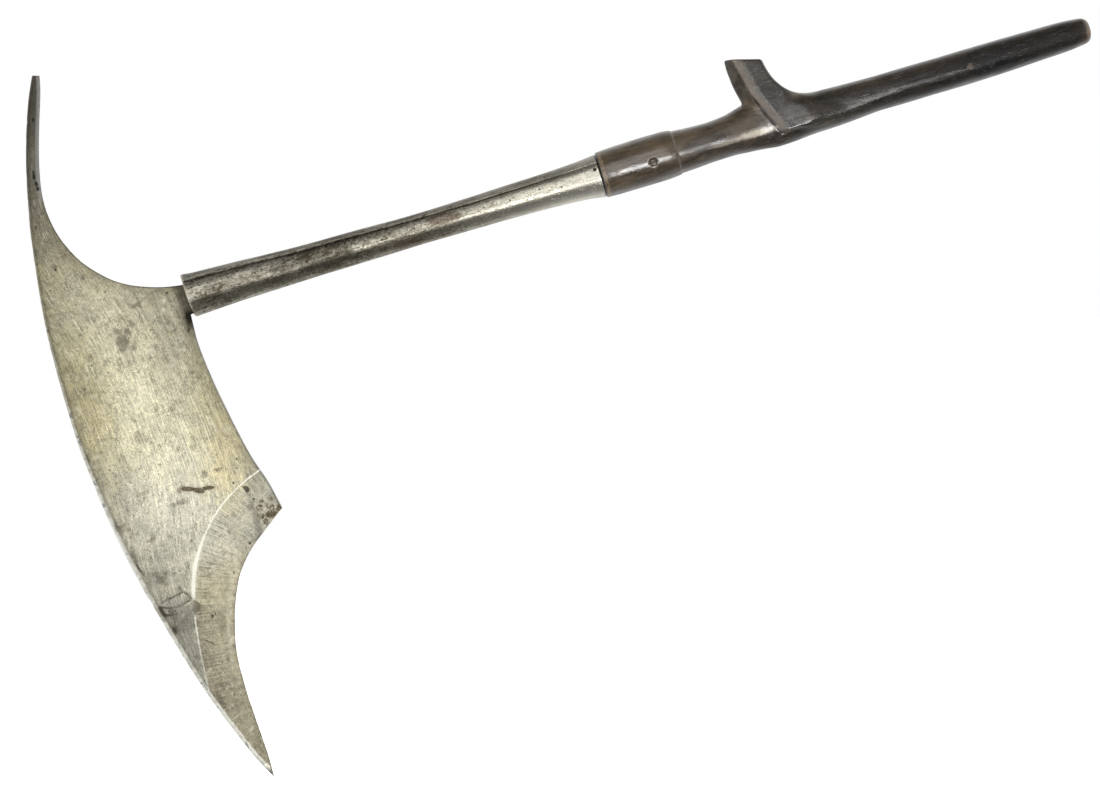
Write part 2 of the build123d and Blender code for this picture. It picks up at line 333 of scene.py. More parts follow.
class Material(Graph):
    """A principled material; paint lays colours over one another."""

    def __init__(self, name):
        self.material = bpy.data.materials.new(name)
        self.material.use_nodes = True
        super().__init__(self.material.node_tree)
        output = self.node("OutputMaterial")
        self.bsdf = self.node("BsdfPrincipled")
        self.tree.links.new(self.bsdf.outputs[0], output.inputs[0])
        coordinates = self.value("TexCoord", "Object", {})
        self.position = self.gain(coordinates, 1000.0)      # object millimetres
        self.colour = None

    def paint(self, mask, colour):
        """Lay a colour (0..255 or a value) over what is there, as far as mask says."""
        if not isinstance(colour, Value):
            colour = srgb(*colour)
        self.colour = self.mix(mask, self.colour, colour)

    def finish(self, rough, metal, height=None, strength=0.0, depth=0.0, **extra):
        """depth is the bump's distance in metres."""
        inputs = {"Base Color": self.colour, "Roughness": rough, "Metallic": metal}
        if height is not None:
            inputs["Normal"] = self.value("Bump", 0, {"Strength": strength, "Distance": depth,
                                                      "Height": height})
        for key, value in extra.items():
            inputs[key.replace("_", " ")] = value
        for key, value in inputs.items():
            self.put(self.bsdf, key, value)
        return self.material


# ----------------------------------------------------------------------------- blade: tables
# Edge lines of the plate, (x, z) mm. Together they go once round it.
CONVEX = [      # long outer edge on the -X side, spike tip to point
    (-70.4, 204.7), (-75.6, 194.3), (-81.8, 179.5), (-89.6, 156.8), (-95.2, 137.6),
    (-100.1, 118.2), (-106.8, 86.8), (-110.5, 62.9), (-114.8, 30.8), (-117.7, -1.7),
    (-118.8, -34.8), (-118.9, -76.5), (-117.6, -101.9), (-115.2, -127.6), (-112.5, -153.4),
    (-108.4, -179.7), (-103.2, -206.2), (-97.1, -233), (-90.1, -260.1), (-82.8, -287.3),
    (-74.1, -314.9), (-64, -342.9), (-52.4, -371.3), (-43.2, -388.2)]
INNER = [       # the spike's edge towards the haft, tip to tang
    (-64.8, 203), (-66.3, 194.9), (-69.7, 184.3), (-74.8, 169.1), (-79.8, 153.9), (-83.8, 140.1),
    (-88, 123), (-90.3, 106.9), (-89.8, 90.1), (-85.6, 72.2), (-76.5, 52.8), (-68.1, 42),
    (-56.2, 30.2), (-42.8, 21.6), (-27.9, 15.7), (-15.6, 12.1), (-6.1, 10.5), (-0.6, 9.9)]
TANG = [        # tongue inside the tube
    (-0.6, 9.9), (3, 9.7), (40, 9.6), (84, 9.2), (88, 7.5), (88, -8), (84, -9.9), (40, -12.2),
    (3, -13.9), (-2.7, -14.4)]
BACK = [        # edge below the tang, down to the lower corner
    (-2.7, -14.4), (-3.8, -35.3), (-2.7, -52.3), (-0.8, -69.6), (1.9, -87), (6.5, -113.4),
    (12.3, -140.2), (18.6, -159.1), (23.7, -183.4)]
HOLLOW = [      # hollow ground edge, corner to point
    (23.7, -183.4), (13.5, -190.5), (5.6, -196.6), (-3, -202.4), (-10, -208.7), (-16.5, -215.1),
    (-21.8, -221.9), (-26.1, -228.9), (-29.8, -236.2), (-33, -243.6), (-36.9, -254.9),
    (-40.2, -266.5), (-43.7, -282.1), (-45, -298.4), (-45.3, -315), (-44.8, -331.8),
    (-43.9, -348.8), (-43, -365.7), (-43.2, -388.2)]
RIDGE = [       # where the broad bevel of the hollow edge begins
    (17.6, -148.4), (13.9, -149.6), (-0.5, -155.2), (-19.2, -165.4), (-33.8, -177.9),
    (-45.8, -192), (-54.6, -205.2), (-62.1, -222.6), (-64.6, -233.7), (-68.3, -250.3),
    (-70.4, -265.4), (-71.9, -280.7), (-73.1, -298.1), (-74.3, -314), (-73.0, -328),
    (-68.0, -341), (-60.5, -356), (-52.5, -370.5)]
MIDLINE = [     # the run that streaks follow, spike to point
    (-69, 200), (-96, 120), (-92, 60), (-70, -10), (-62, -80), (-58, -140), (-66, -200),
    (-66, -260), (-58, -320), (-44, -386)]

# Oval marks on the near face, laid out on the camera's axes from station 0:
# mm to the right, mm up, half width, half height, degrees clockwise in the view.
SMUDGES = [
    (-52.8, -35.76, 5.6, 6.4, 0), (-56.8, -28.56, 4.4, 2.8, 20), (-48.8, -28.56, 3.2, 3.2, 0),
    (-52.0, -41.36, 3.6, 4.0, 0), (-84.8, 14.64, 2.0, 3.2, 0), (-107.2, 23.44, 2.4, 2.0, 10),
    (-43.2, -7.76, 4.0, 2.4, 0), (-24.8, -17.36, 1.04, 3.2, 70), (-12.0, -27.76, 1.04, 3.2, 60),
    (6.8, -248.96, 3.36, 4.8, 10), (-22.4, -226.16, 6.4, 3.6, 40), (-18.4, -222.16, 2.4, 2.4, 0),
    (-22.4, -253.36, 2.8, 7.2, -32), (-14.4, -254.56, 4.8, 2.0, -10),
    (-11.2, -267.76, 2.0, 4.0, -30), (-80.8, -130.16, 1.76, 4.8, -10),
    (-85.6, -105.36, 1.44, 3.2, -10), (-8.8, -166.16, 5.6, 1.6, -10), (12.8, -142.16, 2.4, 3.2, 30),
    (23.2, -138.96, 2.4, 2.4, 0), (71.2, -162.16, 0.96, 4.8, -30), (25.6, -322.96, 2.4, 7.2, -30),
    (-56.8, -185.36, 2.0, 5.6, -25), (-44.0, -207.76, 2.0, 6.4, -28), (-8.8, -121.36, 1.6, 2.4, 0),
    (-23.2, 14.64, 2.4, 2.4, 0), (-46.4, -147.76, 1.6, 1.6, 0)]
RUST = [
    (-0.8, -154.16, 6.0, 1.92, 2), (8.0, -155.36, 4.8, 2.08, 8), (15.2, -153.36, 5.2, 1.6, -8),
    (56.8, -169.36, 3.04, 2.56, 0), (57.6, -175.76, 2.88, 2.56, 0), (64.8, -167.76, 3.84, 2.24, 20),
    (66.4, -173.76, 5.2, 3.04, -20), (62.0, -180.16, 2.56, 2.4, 0), (72.0, -169.36, 1.92, 2.56, 0),
    (58.4, -163.76, 1.76, 1.6, 0), (65.6, -162.16, 1.76, 1.28, 0)]
SPOTS = [
    (-123.84, 95.44, 1.2, 2.88, -12), (-121.92, 89.84, 1.44, 2.4, -20),
    (-120.8, 85.84, 1.52, 1.92, 0), (-124.48, 98.96, 0.72, 1.28, 0), (-17.6, 2.64, 1.44, 1.12, 0),
    (-0.32, -26.96, 1.04, 2.4, 0), (44.8, -153.36, 2.08, 1.28, 30), (46.0, -155.76, 1.2, 1.76, 0),
    (52.0, -162.16, 1.28, 0.96, 20), (48.48, -197.6, 1.28, 1.12, 0), (38.08, -130.16, 0.96, 1.28, 0),
    (35.68, -149.36, 0.96, 1.28, 0), (25.6, -137.36, 0.88, 0.96, 0), (-11.2, -221.36, 1.12, 0.8, 0),
    (17.92, -257.36, 0.96, 0.8, 0), (21.2, -254.16, 0.8, 0.96, 0), (35.76, -221.36, 0.96, 1.28, 0),
    (-21.2, -252.56, 1.6, 5.2, -32), (-11.2, -267.36, 1.36, 3.2, -32),
    (-39.6, -218.16, 0.72, 7.2, -33), (18.8, -255.76, 1.44, 1.44, 0),
    (46.4, -154.16, 2.56, 1.92, 60), (-68.0, -2.96, 0.64, 1.12, 30), (-77.6, -55.76, 0.96, 0.64, 0),
    (-39.2, -124.56, 0.96, 0.64, 50), (-106.4, 21.04, 0.96, 1.44, 0), (26.4, -292.56, 0.72, 1.2, 20),
    (-124.8, 141.04, 0.72, 2.0, 0), (-122.4, 54.64, 0.88, 1.76, 0), (-63.2, -138.96, 0.96, 0.64, 0)]
# Scored lines on the near face, on the same axes: mm to the right, mm up.
CUTS = [
    [(-8.16, -232.48), (-2.4, -237.36), (2.8, -242.0)],
    [(-21.2, -244.96), (-12.8, -240.56), (-4.16, -236.48)],
    [(-22.4, -248.96), (-13.6, -249.76), (-5.6, -247.36), (1.6, -242.16)],
    [(-19.2, -255.76), (-9.2, -254.0)],
    [(-16.0, -251.76), (-10.4, -250.96)],
    [(3.2, -242.96), (8.0, -246.16)],
    [(12.8, -274.96), (20.0, -278.16)]]

GRID = 1.75             # spacing of the plate's inner points
MARK_GRID = 0.75        # spacing around rust and spots
# How far the dense points reach past a mark. The trace over 1.2 keeps points on the far rim.
MARK_MARGIN = 1.2 + 1e-12
PLATE_HALF = 1.6
EDGE_HALF = 0.22        # half thickness left at the convex edge
TANG_HALF = 1.35
FAR_AWAY = 30.0         # distance given where a mark doesn't apply


# ----------------------------------------------------------------------------- blade: shape
def view_point(right, up):
    """(x, z) of a point given on the camera's axes."""
    return right * VIEW_RIGHT + up * VIEW_UP


def mark_distance(points, marks):
    """Signed distance in mm to the nearest mark: below zero inside it."""
    best = np.full(len(points), FAR_AWAY)
    for right, up, half_width, half_height, turn in marks:
        cos, sin = math.cos(math.radians(turn)), math.sin(math.radians(turn))
        offset = points - view_point(right, up)
        across = offset @ (VIEW_RIGHT * cos - VIEW_UP * sin) / half_width
        down = offset @ (-VIEW_RIGHT * sin - VIEW_UP * cos) / half_height
        radius = np.sqrt(across * across + down * down)
        best = np.minimum(best, (radius - 1.0) * min(half_width, half_height))
    return best


def nicked(line, depth, seed):
    """Small irregular bites out of an edge, none at its ends."""
    flat = with_zero(line)
    order = np.arange(len(line))
    fade = np.minimum(1, np.minimum(order, order[::-1]) / 8.0)
    bites = np.clip(lumps(flat, 3.2, octaves=2, seed=seed + 9) - 0.35, 0, 1)
    wave = lumps(flat, 9, octaves=3, seed=seed) + 1.8 * bites
    return line + normals(line) * (depth * wave * fade)[:, None]


def tang_line():
    points = []
    for start, end in zip(TANG[:-1], TANG[1:]):
        count = max(1, int(math.dist(start, end) / 2.5))
        points += [(start[0] + (end[0] - start[0]) * k / count,
                    start[1] + (end[1] - start[1]) * k / count) for k in range(count)]
    return np.array(points[1:])


def convex_bevel(along):
    """Width of the convex edge's short bevel; along is 0 at the spike, 1 at the point."""
    return 1.6 + 1.6 * ease(0.15, 0.5, along) - 1.2 * ease(0.9, 1.0, along)


def guide_lines(outline, convex, inner, back, hollow, ridge):
    """Lines inside the outline that the triangles have to follow."""
    closed = np.vstack([outline, outline[:1]])
    guides = []

    def inset(line, width):
        moved = line + normals(line) * np.broadcast_to(width, len(line))[:, None]
        middle = len(line) // 2
        if inside_polygon(moved[middle:middle + 1], outline)[0]:
            return moved
        return line - normals(line) * np.broadcast_to(width, len(line))[:, None]

    def keep(line, clear=0.35):
        """Keep the stretches that stay inside and clear of the outline."""
        usable = inside_polygon(line, outline) & (nearest_on(line, closed)[0] > clear)
        stretch = []
        for point, good in zip(line, usable):
            if good:
                stretch.append(point)
                continue
            if len(stretch) > 3:
                guides.append(np.array(stretch))
            stretch = []
        if len(stretch) > 3:
            guides.append(np.array(stretch))

    keep(inset(convex, convex_bevel(np.linspace(0, 1, len(convex))))[4:-6])
    keep(inset(convex, 0.55)[2:-2])
    keep(inset(hollow, 0.6)[2:-4])
    keep(inset(back, 0.6)[3:-3])
    keep(inset(inner, 0.6)[3:-8])
    spike_bevel = inset(inner, 3.0)
    keep(spike_bevel[spike_bevel[:, 1] > 112][2:], 0.8)
    keep(ridge[1:], 1.0)
    return guides


def inner_points(outline, guides):
    """Staggered grid inside the outline, denser around rust and spots."""
    low = outline.min(0)
    high = outline.max(0)
    rows = int((high[1] - low[1]) / (GRID * 0.866)) + 2
    columns = int((high[0] - low[0]) / GRID) + 2
    i, j = np.meshgrid(np.arange(columns), np.arange(rows))
    points = np.column_stack([(low[0] + (i + 0.5 * (j % 2)) * GRID).ravel(),
                              (low[1] + j * GRID * 0.866).ravel()])
    points = points + 0.18 * np.column_stack(
        [value_noise(with_zero(points) * 0.9, seed) for seed in (1, 2)])
    dense = []
    for right, up, half_width, half_height, _ in RUST + SPOTS:
        reach = max(half_width, half_height) + MARK_MARGIN
        steps = np.arange(-reach, reach + 0.01, MARK_GRID)
        i, j = np.meshgrid(steps, steps)
        patch = np.column_stack([i.ravel(), j.ravel()])
        dense.append(patch[np.hypot(*patch.T) < reach] + view_point(right, up))
    dense = np.vstack(dense)
    # one point for each 0.6 mm cell where patches overlap
    _, first = np.unique(np.round(dense / 0.6).astype(int), axis=0, return_index=True)
    points = np.vstack([points, dense[np.sort(first)]])
    points = points[inside_polygon(points, outline)]
    points = points[nearest_on(points, np.vstack([outline, outline[:1]]))[0] > 1.0]
    for guide in guides:
        points = points[nearest_on(points, guide)[0] > 0.55]
    return points


def triangulate(outline, guides):
    """Plan points (n, 2) and triangles, counter-clockwise in (x, z)."""
    count = len(outline)
    points = [tuple(q) for q in outline]
    edges = [(k, (k + 1) % count) for k in range(count)]
    for guide in guides:
        base = len(points)
        points += [tuple(q) for q in guide]
        edges += [(base + k, base + k + 1) for k in range(len(guide) - 1)]
    points += [tuple(q) for q in inner_points(outline, guides)]
    found = delaunay_2d_cdt([Vector(q) for q in points], edges, [], 1, 1e-4)
    plan = np.array([(q.x, q.y) for q in found[0]])
    faces = np.array([face for face in found[2] if len(face) == 3])
    side1 = plan[faces[:, 1]] - plan[faces[:, 0]]
    side2 = plan[faces[:, 2]] - plan[faces[:, 0]]
    area = side1[:, 0] * side2[:, 1] - side1[:, 1] * side2[:, 0]
    faces[area < 0] = faces[area < 0][:, ::-1]
    faces = faces[np.abs(area) > 1e-7]
    used = np.unique(faces)
    renumber = -np.ones(len(plan), int)
    renumber[used] = np.arange(len(used))
    return plan[used], renumber[faces]


def build_blade():
    convex = nicked(resample(CONVEX, 1.25, soften=7), 0.22, seed=3)
    hollow = nicked(resample(HOLLOW, 1.0, soften=4), 0.22, seed=5)
    back = nicked(resample(BACK, 1.25, soften=6), 0.15, seed=7)
    inner = nicked(resample(INNER, 1.25, soften=6), 0.12, seed=8)
    ridge = resample(RIDGE, 1.25, soften=6)
    outline = np.vstack([inner, tang_line(), back, hollow[1:], convex[::-1][1:]])
    guides = guide_lines(outline, convex, inner, back, hollow, ridge)
    plan, triangles = triangulate(outline, guides)
    count = len(plan)
    height = plan[:, 1]

    to_convex, along_convex = nearest_on(plan, convex)
    to_inner, _ = nearest_on(plan, inner)
    to_back, _ = nearest_on(plan, back)
    to_hollow, _ = nearest_on(plan, hollow)
    to_ridge, along_ridge = nearest_on(plan, ridge)
    in_bevel = inside_polygon(plan, np.vstack([ridge, hollow[::-1][6:], back[::-1][1:32]]))
    to_edge = np.minimum(np.minimum(to_convex, to_inner), np.minimum(to_back, to_hollow))
    tang = ease(-2, 4, plan[:, 0])
    free = 1 - tang

    # thinner at the spike, at the point and towards the convex edge
    half = PLATE_HALF - 0.75 * ease(60, 205, height) - 0.35 * ease(-300, -388, height)
    half = half - 0.45 * np.exp(-to_convex / 14.0)
    # short bevel of the convex edge, wider on the far face
    width = convex_bevel(along_convex)

    def edge_bevel(width):
        share = np.clip(to_convex / width, 0, 1)
        return np.where(to_convex < width, EDGE_HALF + (half - EDGE_HALF) * share, half)

    near = edge_bevel(width)
    far = edge_bevel(width * 1.6)
    # broad, slightly hollow bevel towards the hollow edge, near face only
    share = to_ridge / np.maximum(to_ridge + to_hollow, 1e-6)
    drop = (near + far - 0.65) * (1 - (1 - share) ** 1.12)
    near = np.where(in_bevel, near - drop * ease(0.0, 0.05, share + 0.02), near)
    # narrow bevel along the spike's inner edge
    width = 3.0 * ease(96, 122, height) + 1e-3
    share = np.clip(to_inner / width, 0, 1)
    near = np.where((to_inner < width) & (height > 90),
                    0.30 + (near - 0.30) * (0.62 + 0.38 * share), near)
    # worn corner on the unground edges
    worn = 0.42 * (1 - ease(0, 0.62, np.minimum(to_inner, to_back))) * free
    near = near - np.where(in_bevel, 0.3 * worn, worn)
    far = far - worn
    near = near * free + tang * TANG_HALF
    far = far * free + tang * TANG_HALF

    # warp of the whole plate, hammer marks, pits and grit
    flat = with_zero(plan)
    bend = 0.30 * lumps(flat, 70, octaves=2, seed=11) + 0.05 * lumps(flat, 14, octaves=3, seed=12)
    bend = bend * free * ease(0, 12, to_edge + 3)
    hammer = 0.045 * lumps(flat, 7, octaves=2, seed=13) * free
    smudge = mark_distance(plan, SMUDGES)
    rust = mark_distance(plan, RUST)
    spot = mark_distance(plan, SPOTS)
    rust_rim = rust + 0.6 * lumps(flat, 2.0, octaves=2, seed=40)
    pit = 0.10 * (1 - ease(-0.6, 0.7, spot)) + 0.07 * (1 - ease(-0.8, 0.6, rust_rim))
    grit = 0.018 * lumps(flat, 1.9, octaves=2, seed=19)
    off_edge = ease(0.0, 1.2, to_edge)
    near = near + hammer * off_edge - pit * free * off_edge + grit * off_edge * free
    far = far + 0.045 * lumps(flat, 8, octaves=2, seed=23) * free * off_edge
    near = np.maximum(near, -far + 0.3)

    points = np.vstack([np.column_stack([plan[:, 0], bend - near, height]),
                        np.column_stack([plan[:, 0], bend + far, height])])
    sides = dict.fromkeys((int(face[k]), int(face[(k + 1) % 3]))
                          for face in triangles for k in range(3))
    border = [(start, end) for start, end in sides if (end, start) not in sides]
    faces = [tuple(face) for face in triangles]
    faces += [(c + count, b + count, a + count) for a, b, c in triangles]
    faces += [(end, start, start + count, end + count) for start, end in border]

    to_cut = np.full(count, 20.0)
    for cut in CUTS:
        line = np.array([view_point(*point) for point in cut])
        to_cut = np.minimum(to_cut, nearest_on(plan, line)[0])

    # flow: millimetres across and along the blade's run
    run = resample(MIDLINE, 3, soften=12)
    to_run, along_run = nearest_on(plan, run)
    k = np.clip((along_run * (len(run) - 1)).astype(int), 0, len(run) - 2)
    ahead = run[k + 1] - run[k]
    side = np.sign(ahead[:, 0] * (height - run[k][:, 1])
                   - ahead[:, 1] * (plan[:, 0] - run[k][:, 0]))
    flow = np.column_stack([side * to_run, along_run * 640.0, np.zeros(count)])
    # grind: millimetres along the ridge and square off it
    grind = np.column_stack([along_ridge * 270.0, to_ridge, np.zeros(count)])

    def both(near_values, far_values=None):
        return np.concatenate([near_values, near_values if far_values is None else far_values])

    away = np.full(count, FAR_AWAY)
    return add_mesh("blade_plate", points, faces, sharp_degrees=38, attributes={
        "flow": both(flow, flow + np.array([300.0, 120.0, 40.0])),
        "grind": both(grind),
        "bevel": both(in_bevel.astype(float) * ease(0, 1.0, to_ridge), np.zeros(count)),
        "d_ridge": both(np.where(along_ridge > 0.002, to_ridge, FAR_AWAY), away),
        "a_ridge": both(along_ridge),
        "d_cvx": both(to_convex),
        "a_cvx": both(along_convex),
        "d_edge": both(to_edge),
        "d_back": both(to_back),
        "d_inner": both(to_inner),
        "d_hollow": both(to_hollow),
        "smudge": both(smudge, away),
        "rust": both(rust, away),
        "spot": both(spot, away),
        "cut": both(to_cut, away),
        "tang": both(tang),
    })


# ----------------------------------------------------------------------------- blade: steel
# Broad patches of painted light and painted shade, partly the steel's own tone: x, z, half width,
# half height, lean, gain (below 0 darkens).
STEEL_LIGHT_AND_TONE = [
    (-60, -128, 44, 112, 0.10, 0.33), (-72, -10, 30, 60, 0, 0.13), (-100, -178, 16, 18, 0, 0.10),
    (6, -180, 17, 15, 0, 0.12), (-26, -212, 7, 16, 0, 0.12), (-84, -40, 16, 40, 0, -0.05),
    (-56, -86, 20, 24, 0, 0.04), (-56, -142, 20, 24, 0, -0.04), (-8, -60, 14, 40, 0, -0.03),
    (-6, -140, 24, 50, 0, 0.09), (-84, -205, 30, 30, 0, -0.07), (-96, -60, 16, 60, 0, -0.03)]
# painted shade, partly the steel's own tone, on the lower bevel; same columns
BEVEL_SHADE_AND_TONE = [(-78, -246, 16, 14, 0, -0.14), (-74, -262, 24, 34, 0, -0.05)]


# In the materials, noise takes: vector, scale per mm, detail, roughness, distortion.
# A paint call reads: mask * strength, screen colour.
def blade_material():
    mat = Material("blade_steel_worn")
    noise, paint, attr, pos = mat.noise, mat.paint, mat.attr, mat.position
    flow = attr("flow", "Vector")
    grind = attr("grind", "Vector")
    bevel = attr("bevel")
    to_convex = attr("d_cvx")
    along_convex = attr("a_cvx")
    to_ridge = attr("d_ridge")
    along_ridge = attr("a_ridge")
    x, _, z = mat.xyz(pos)
    station = x - X0

    def blob(centre_x, centre_z, half_width, half_height, lean=0.0):
        """Soft oval, 1 in the middle."""
        off_x = station - centre_x
        off_z = z - centre_z
        if lean:
            off_x = off_x + off_z * lean
        across = off_x * (1.0 / half_width)
        upward = off_z * (1.0 / half_height)
        return mat.math("POWER", 2.718, (across * across + upward * upward) * -1.0)

    def shade(tone, patches):
        for *place, gain in patches:
            patch = blob(*place) * abs(gain)
            tone = tone + patch if gain > 0 else tone - patch
        return tone

    # brightness, painted light and painted shade over the steel's own tone: most down the middle of
    # the belly, less at the spike and the sides
    tone = shade(shade(0.315, STEEL_LIGHT_AND_TONE) - bevel * 0.055, BEVEL_SHADE_AND_TONE)
    tone = tone - z.ease(30.0, 125.0, high=0.14)
    tone = tone + z.ease(-300.0, -350.0, high=0.03)
    broad = noise(pos, 1 / 55, 2, 0.5)
    tone = tone + broad.swing(0.16)

    # mottle at several sizes, the finer ones drawn out along the blade
    blotches = noise(pos, 1 / 15, 5, 0.62, 0.6)
    flecks = noise(flow, 1.0, 5, 0.68, 0.3, stretch=(1 / 3.4, 1 / 4.6, 1.0))
    grains = noise(flow, 1.0, 3, 0.72, stretch=(1 / 1.15, 1 / 1.7, 1.0))
    dust = noise(pos, 1 / 1.3, 2, 0.6)
    streaks = noise(flow, 1.0, 4, 0.62, stretch=(1.25, 0.075, 1.0))
    wide_streaks = noise(flow, 1.0, 3, 0.55, stretch=(0.32, 0.022, 1.0), shift=(9, 4, 0))
    off_bevel = 1.0 - bevel * 0.8
    speckled = noise(pos, 1 / 20, 3, 0.6).line(0.34, 0.66, 0.45, 1.35)
    mottle = (blotches.swing(1.0) + flecks.swing(1.25)
              + grains.swing(1.7) * (speckled * (1.0 - bevel * 0.45))
              + dust.swing(1.15) * speckled
              + streaks.swing(1.7) * off_bevel
              + wide_streaks.swing(0.9) * off_bevel)
    # grinding lines on the bevel, square off the ridge, strongest near it
    lines = noise(grind, 1.0, 3, 0.68, stretch=(0.95, 0.05, 1.0))
    wide_lines = noise(grind, 1.0, 2, 0.5, stretch=(0.45, 0.02, 1.0), shift=(3, 7, 0))
    grinding = lines.swing(1.9) + wide_lines.swing(0.5)
    grinding = grinding * (0.45 + to_ridge.ease(34.0, 8.0) * 0.75)
    mottle = mottle + grinding * bevel
    tone = tone * (1.0 + mottle * 0.95).at_least(0.25)

    # hue: whiter down the middle and towards the point, olive brown at the two sides
    cool = mat.mix(z.ease(-175.0, -85.0), srgb(255, 251, 228), srgb(255, 248, 215))
    side = blob(-104, -50, 24, 72) * 1.15 + blob(-4, -105, 22, 75, -0.12) * 1.1
    side = side + z.ease(0.0, 60.0, high=0.45) + blotches.swing(1.6) + broad.swing(0.8)
    mat.colour = mat.mix(side.ease(0.0, 1.1), cool, srgb(255, 244, 200))
    paint(bevel * 0.85 * z.ease(-192.0, -228.0), (255, 244, 206))
    paint(z.ease(60.0, 120.0) * 0.75, (246, 240, 226))
    paint((side + flecks.swing(1.2)).ease(0.75, 1.6) * 0.7, (240, 222, 172))
    mat.colour = mat.gain(mat.colour, tone)

    # cloudy dull patches with ragged rims, and paler ones
    ragged = noise(pos, 1 / 2.8, 5, 0.72, 0.4)
    fine_ragged = noise(pos, 1 / 1.1, 3, 0.7)
    cloud = noise(pos, 1 / 17, 5, 0.68, 0.9)
    clouds = (cloud + ragged.swing(0.22)).ease(0.545, 0.66)
    paint(clouds * 0.46, (112, 105, 84))
    puffs = noise(pos, 1 / 7.5, 5, 0.7, 0.5)
    paint(puffs.ease(0.56, 0.68) * 0.34, (122, 114, 90))
    paint(puffs.ease(0.44, 0.34) * 0.26 * z.ease(70.0, 10.0), (250, 245, 222))
    # small and larger dark pits, in the same patches
    warped = mat.warp(mat.stretch(pos, (1, 1, 0.62)), noise(pos, 0.9, 3, 0.6, out="Color"), 2.6)
    pit_cells = mat.cells(warped, 1 / 2.3)
    pitted = noise(pos, 1 / 8.0, 4, 0.65)
    pits = pit_cells.ease(0.30, 0.10) * pitted.ease(0.42, 0.62)
    paint(pits * 0.55, (84, 78, 60))
    warped = mat.warp(pos, noise(pos, 0.5, 4, 0.7, out="Color"), 4.0)
    large_pits = mat.cells(warped, 1 / 11.0).ease(0.17, 0.07) * pitted.ease(0.46, 0.56)
    paint(large_pits * 0.60, (80, 74, 58))
    # short dashes, dark and bright, drawn out along the blade
    dark = noise(flow, 1.0, 2, 0.55, stretch=(1 / 1.25, 1 / 6.5, 1.0), shift=(7, 1, 3))
    paint(dark.ease(0.585, 0.68) * (1.0 - bevel * 0.7) * 0.24, (92, 85, 62))
    bright = noise(flow, 1.0, 2, 0.55, stretch=(1 / 1.2, 1 / 5.5, 1.0), shift=(17, 11, 5))
    paint(bright.ease(0.60, 0.69) * 0.18, (250, 246, 224))
    # long scratches with the flow, dark and bright
    dark = noise(flow, 1.0, 2, 0.5, stretch=(0.9, 0.028, 1.0), shift=(31, 5, 2))
    paint(dark.ease(0.665, 0.71) * off_bevel * 0.32, (96, 88, 66))
    bright = noise(flow, 1.0, 2, 0.5, stretch=(1.1, 0.04, 1.0), shift=(51, 15, 2))
    paint(bright.ease(0.66, 0.71) * off_bevel * 0.50, (252, 247, 226))
    # a sheaf of brighter scratches on the belly
    sheaf = noise(flow, 1.0, 2, 0.5, stretch=(0.8, 0.02, 1.0), shift=(2, 25, 12))
    paint(sheaf.ease(0.52, 0.62) * blob(-32, -104, 26, 34) * 0.55, (252, 247, 222))

    # dull belt along the edges
    to_edge = attr("d_edge")
    to_inner = attr("d_inner")
    to_back = attr("d_back")
    jitter = noise(pos, 1 / 3.0, 4, 0.65)
    belt = (to_edge + jitter.swing(12.0)).ease(13.0, 0.0) * z.ease(-250.0, -150.0, 0.35, 1.0)
    paint(belt * 0.36 * (1.0 - bevel * 0.9), (104, 98, 76))
    # spike: grey stripe of the inner bevel, dark convex side, dark tip
    stripe = (to_inner + jitter.swing(0.8)).ease(3.3, 2.5) * z.ease(98.0, 122.0)
    paint(stripe * 0.55, (150, 150, 152))
    paint((to_convex + ragged.swing(2.5)).ease(5.0, 1.0) * z.ease(85.0, 140.0) * 0.55,
          (74, 68, 58))
    paint(z.ease(120.0, 185.0) * to_inner.ease(2.2, 3.6) * 0.60, (50, 47, 43))
    paint(z.ease(95.0, 135.0) * 0.22, (64, 60, 52))
    # thin dark line on the inner edge below the spike, grey line on the back edge
    lip = (to_inner + jitter.swing(1.2)).ease(1.3, 0.4)
    paint(lip * 0.60 * (1.0 - z.ease(95.0, 115.0)), (72, 68, 54))
    paint((to_back + jitter.swing(2.2)).ease(2.0, 0.6) * 0.60, (98, 100, 92))

    # bright worn strip of the convex edge, with gaps
    width = along_convex.line(0.30, 0.60, 1.0, 3.3)
    strip = (to_convex + ragged.swing(3.0)).ease(width + 0.6, width - 0.5)
    strength = along_convex.line(0.28, 0.58, 0.10, 0.95) * along_convex.ease(1.0, 0.975)
    gaps = noise(pos, 1 / 9.0, 4, 0.65).line(0.36, 0.52, 0.55, 1.0)
    paint(strip * strength * gaps, (253, 251, 240))
    # a darker line beside it, and dark bites
    line = to_convex.ease(1.0, 2.6) * (to_convex + ragged.swing(3.0)).ease(6.5, 3.0)
    strength = along_convex.line(0.2, 0.5) * along_convex.line(0.75, 0.6, 0.35, 1.0)
    paint(line * 0.30 * strength, (96, 92, 74))
    bites = (to_convex + ragged.swing(4.0)).ease(3.4, 1.6)
    paint(bites * noise(pos, 1 / 9.0, 3, 0.6).ease(0.585, 0.64) * 0.6, (70, 65, 52))

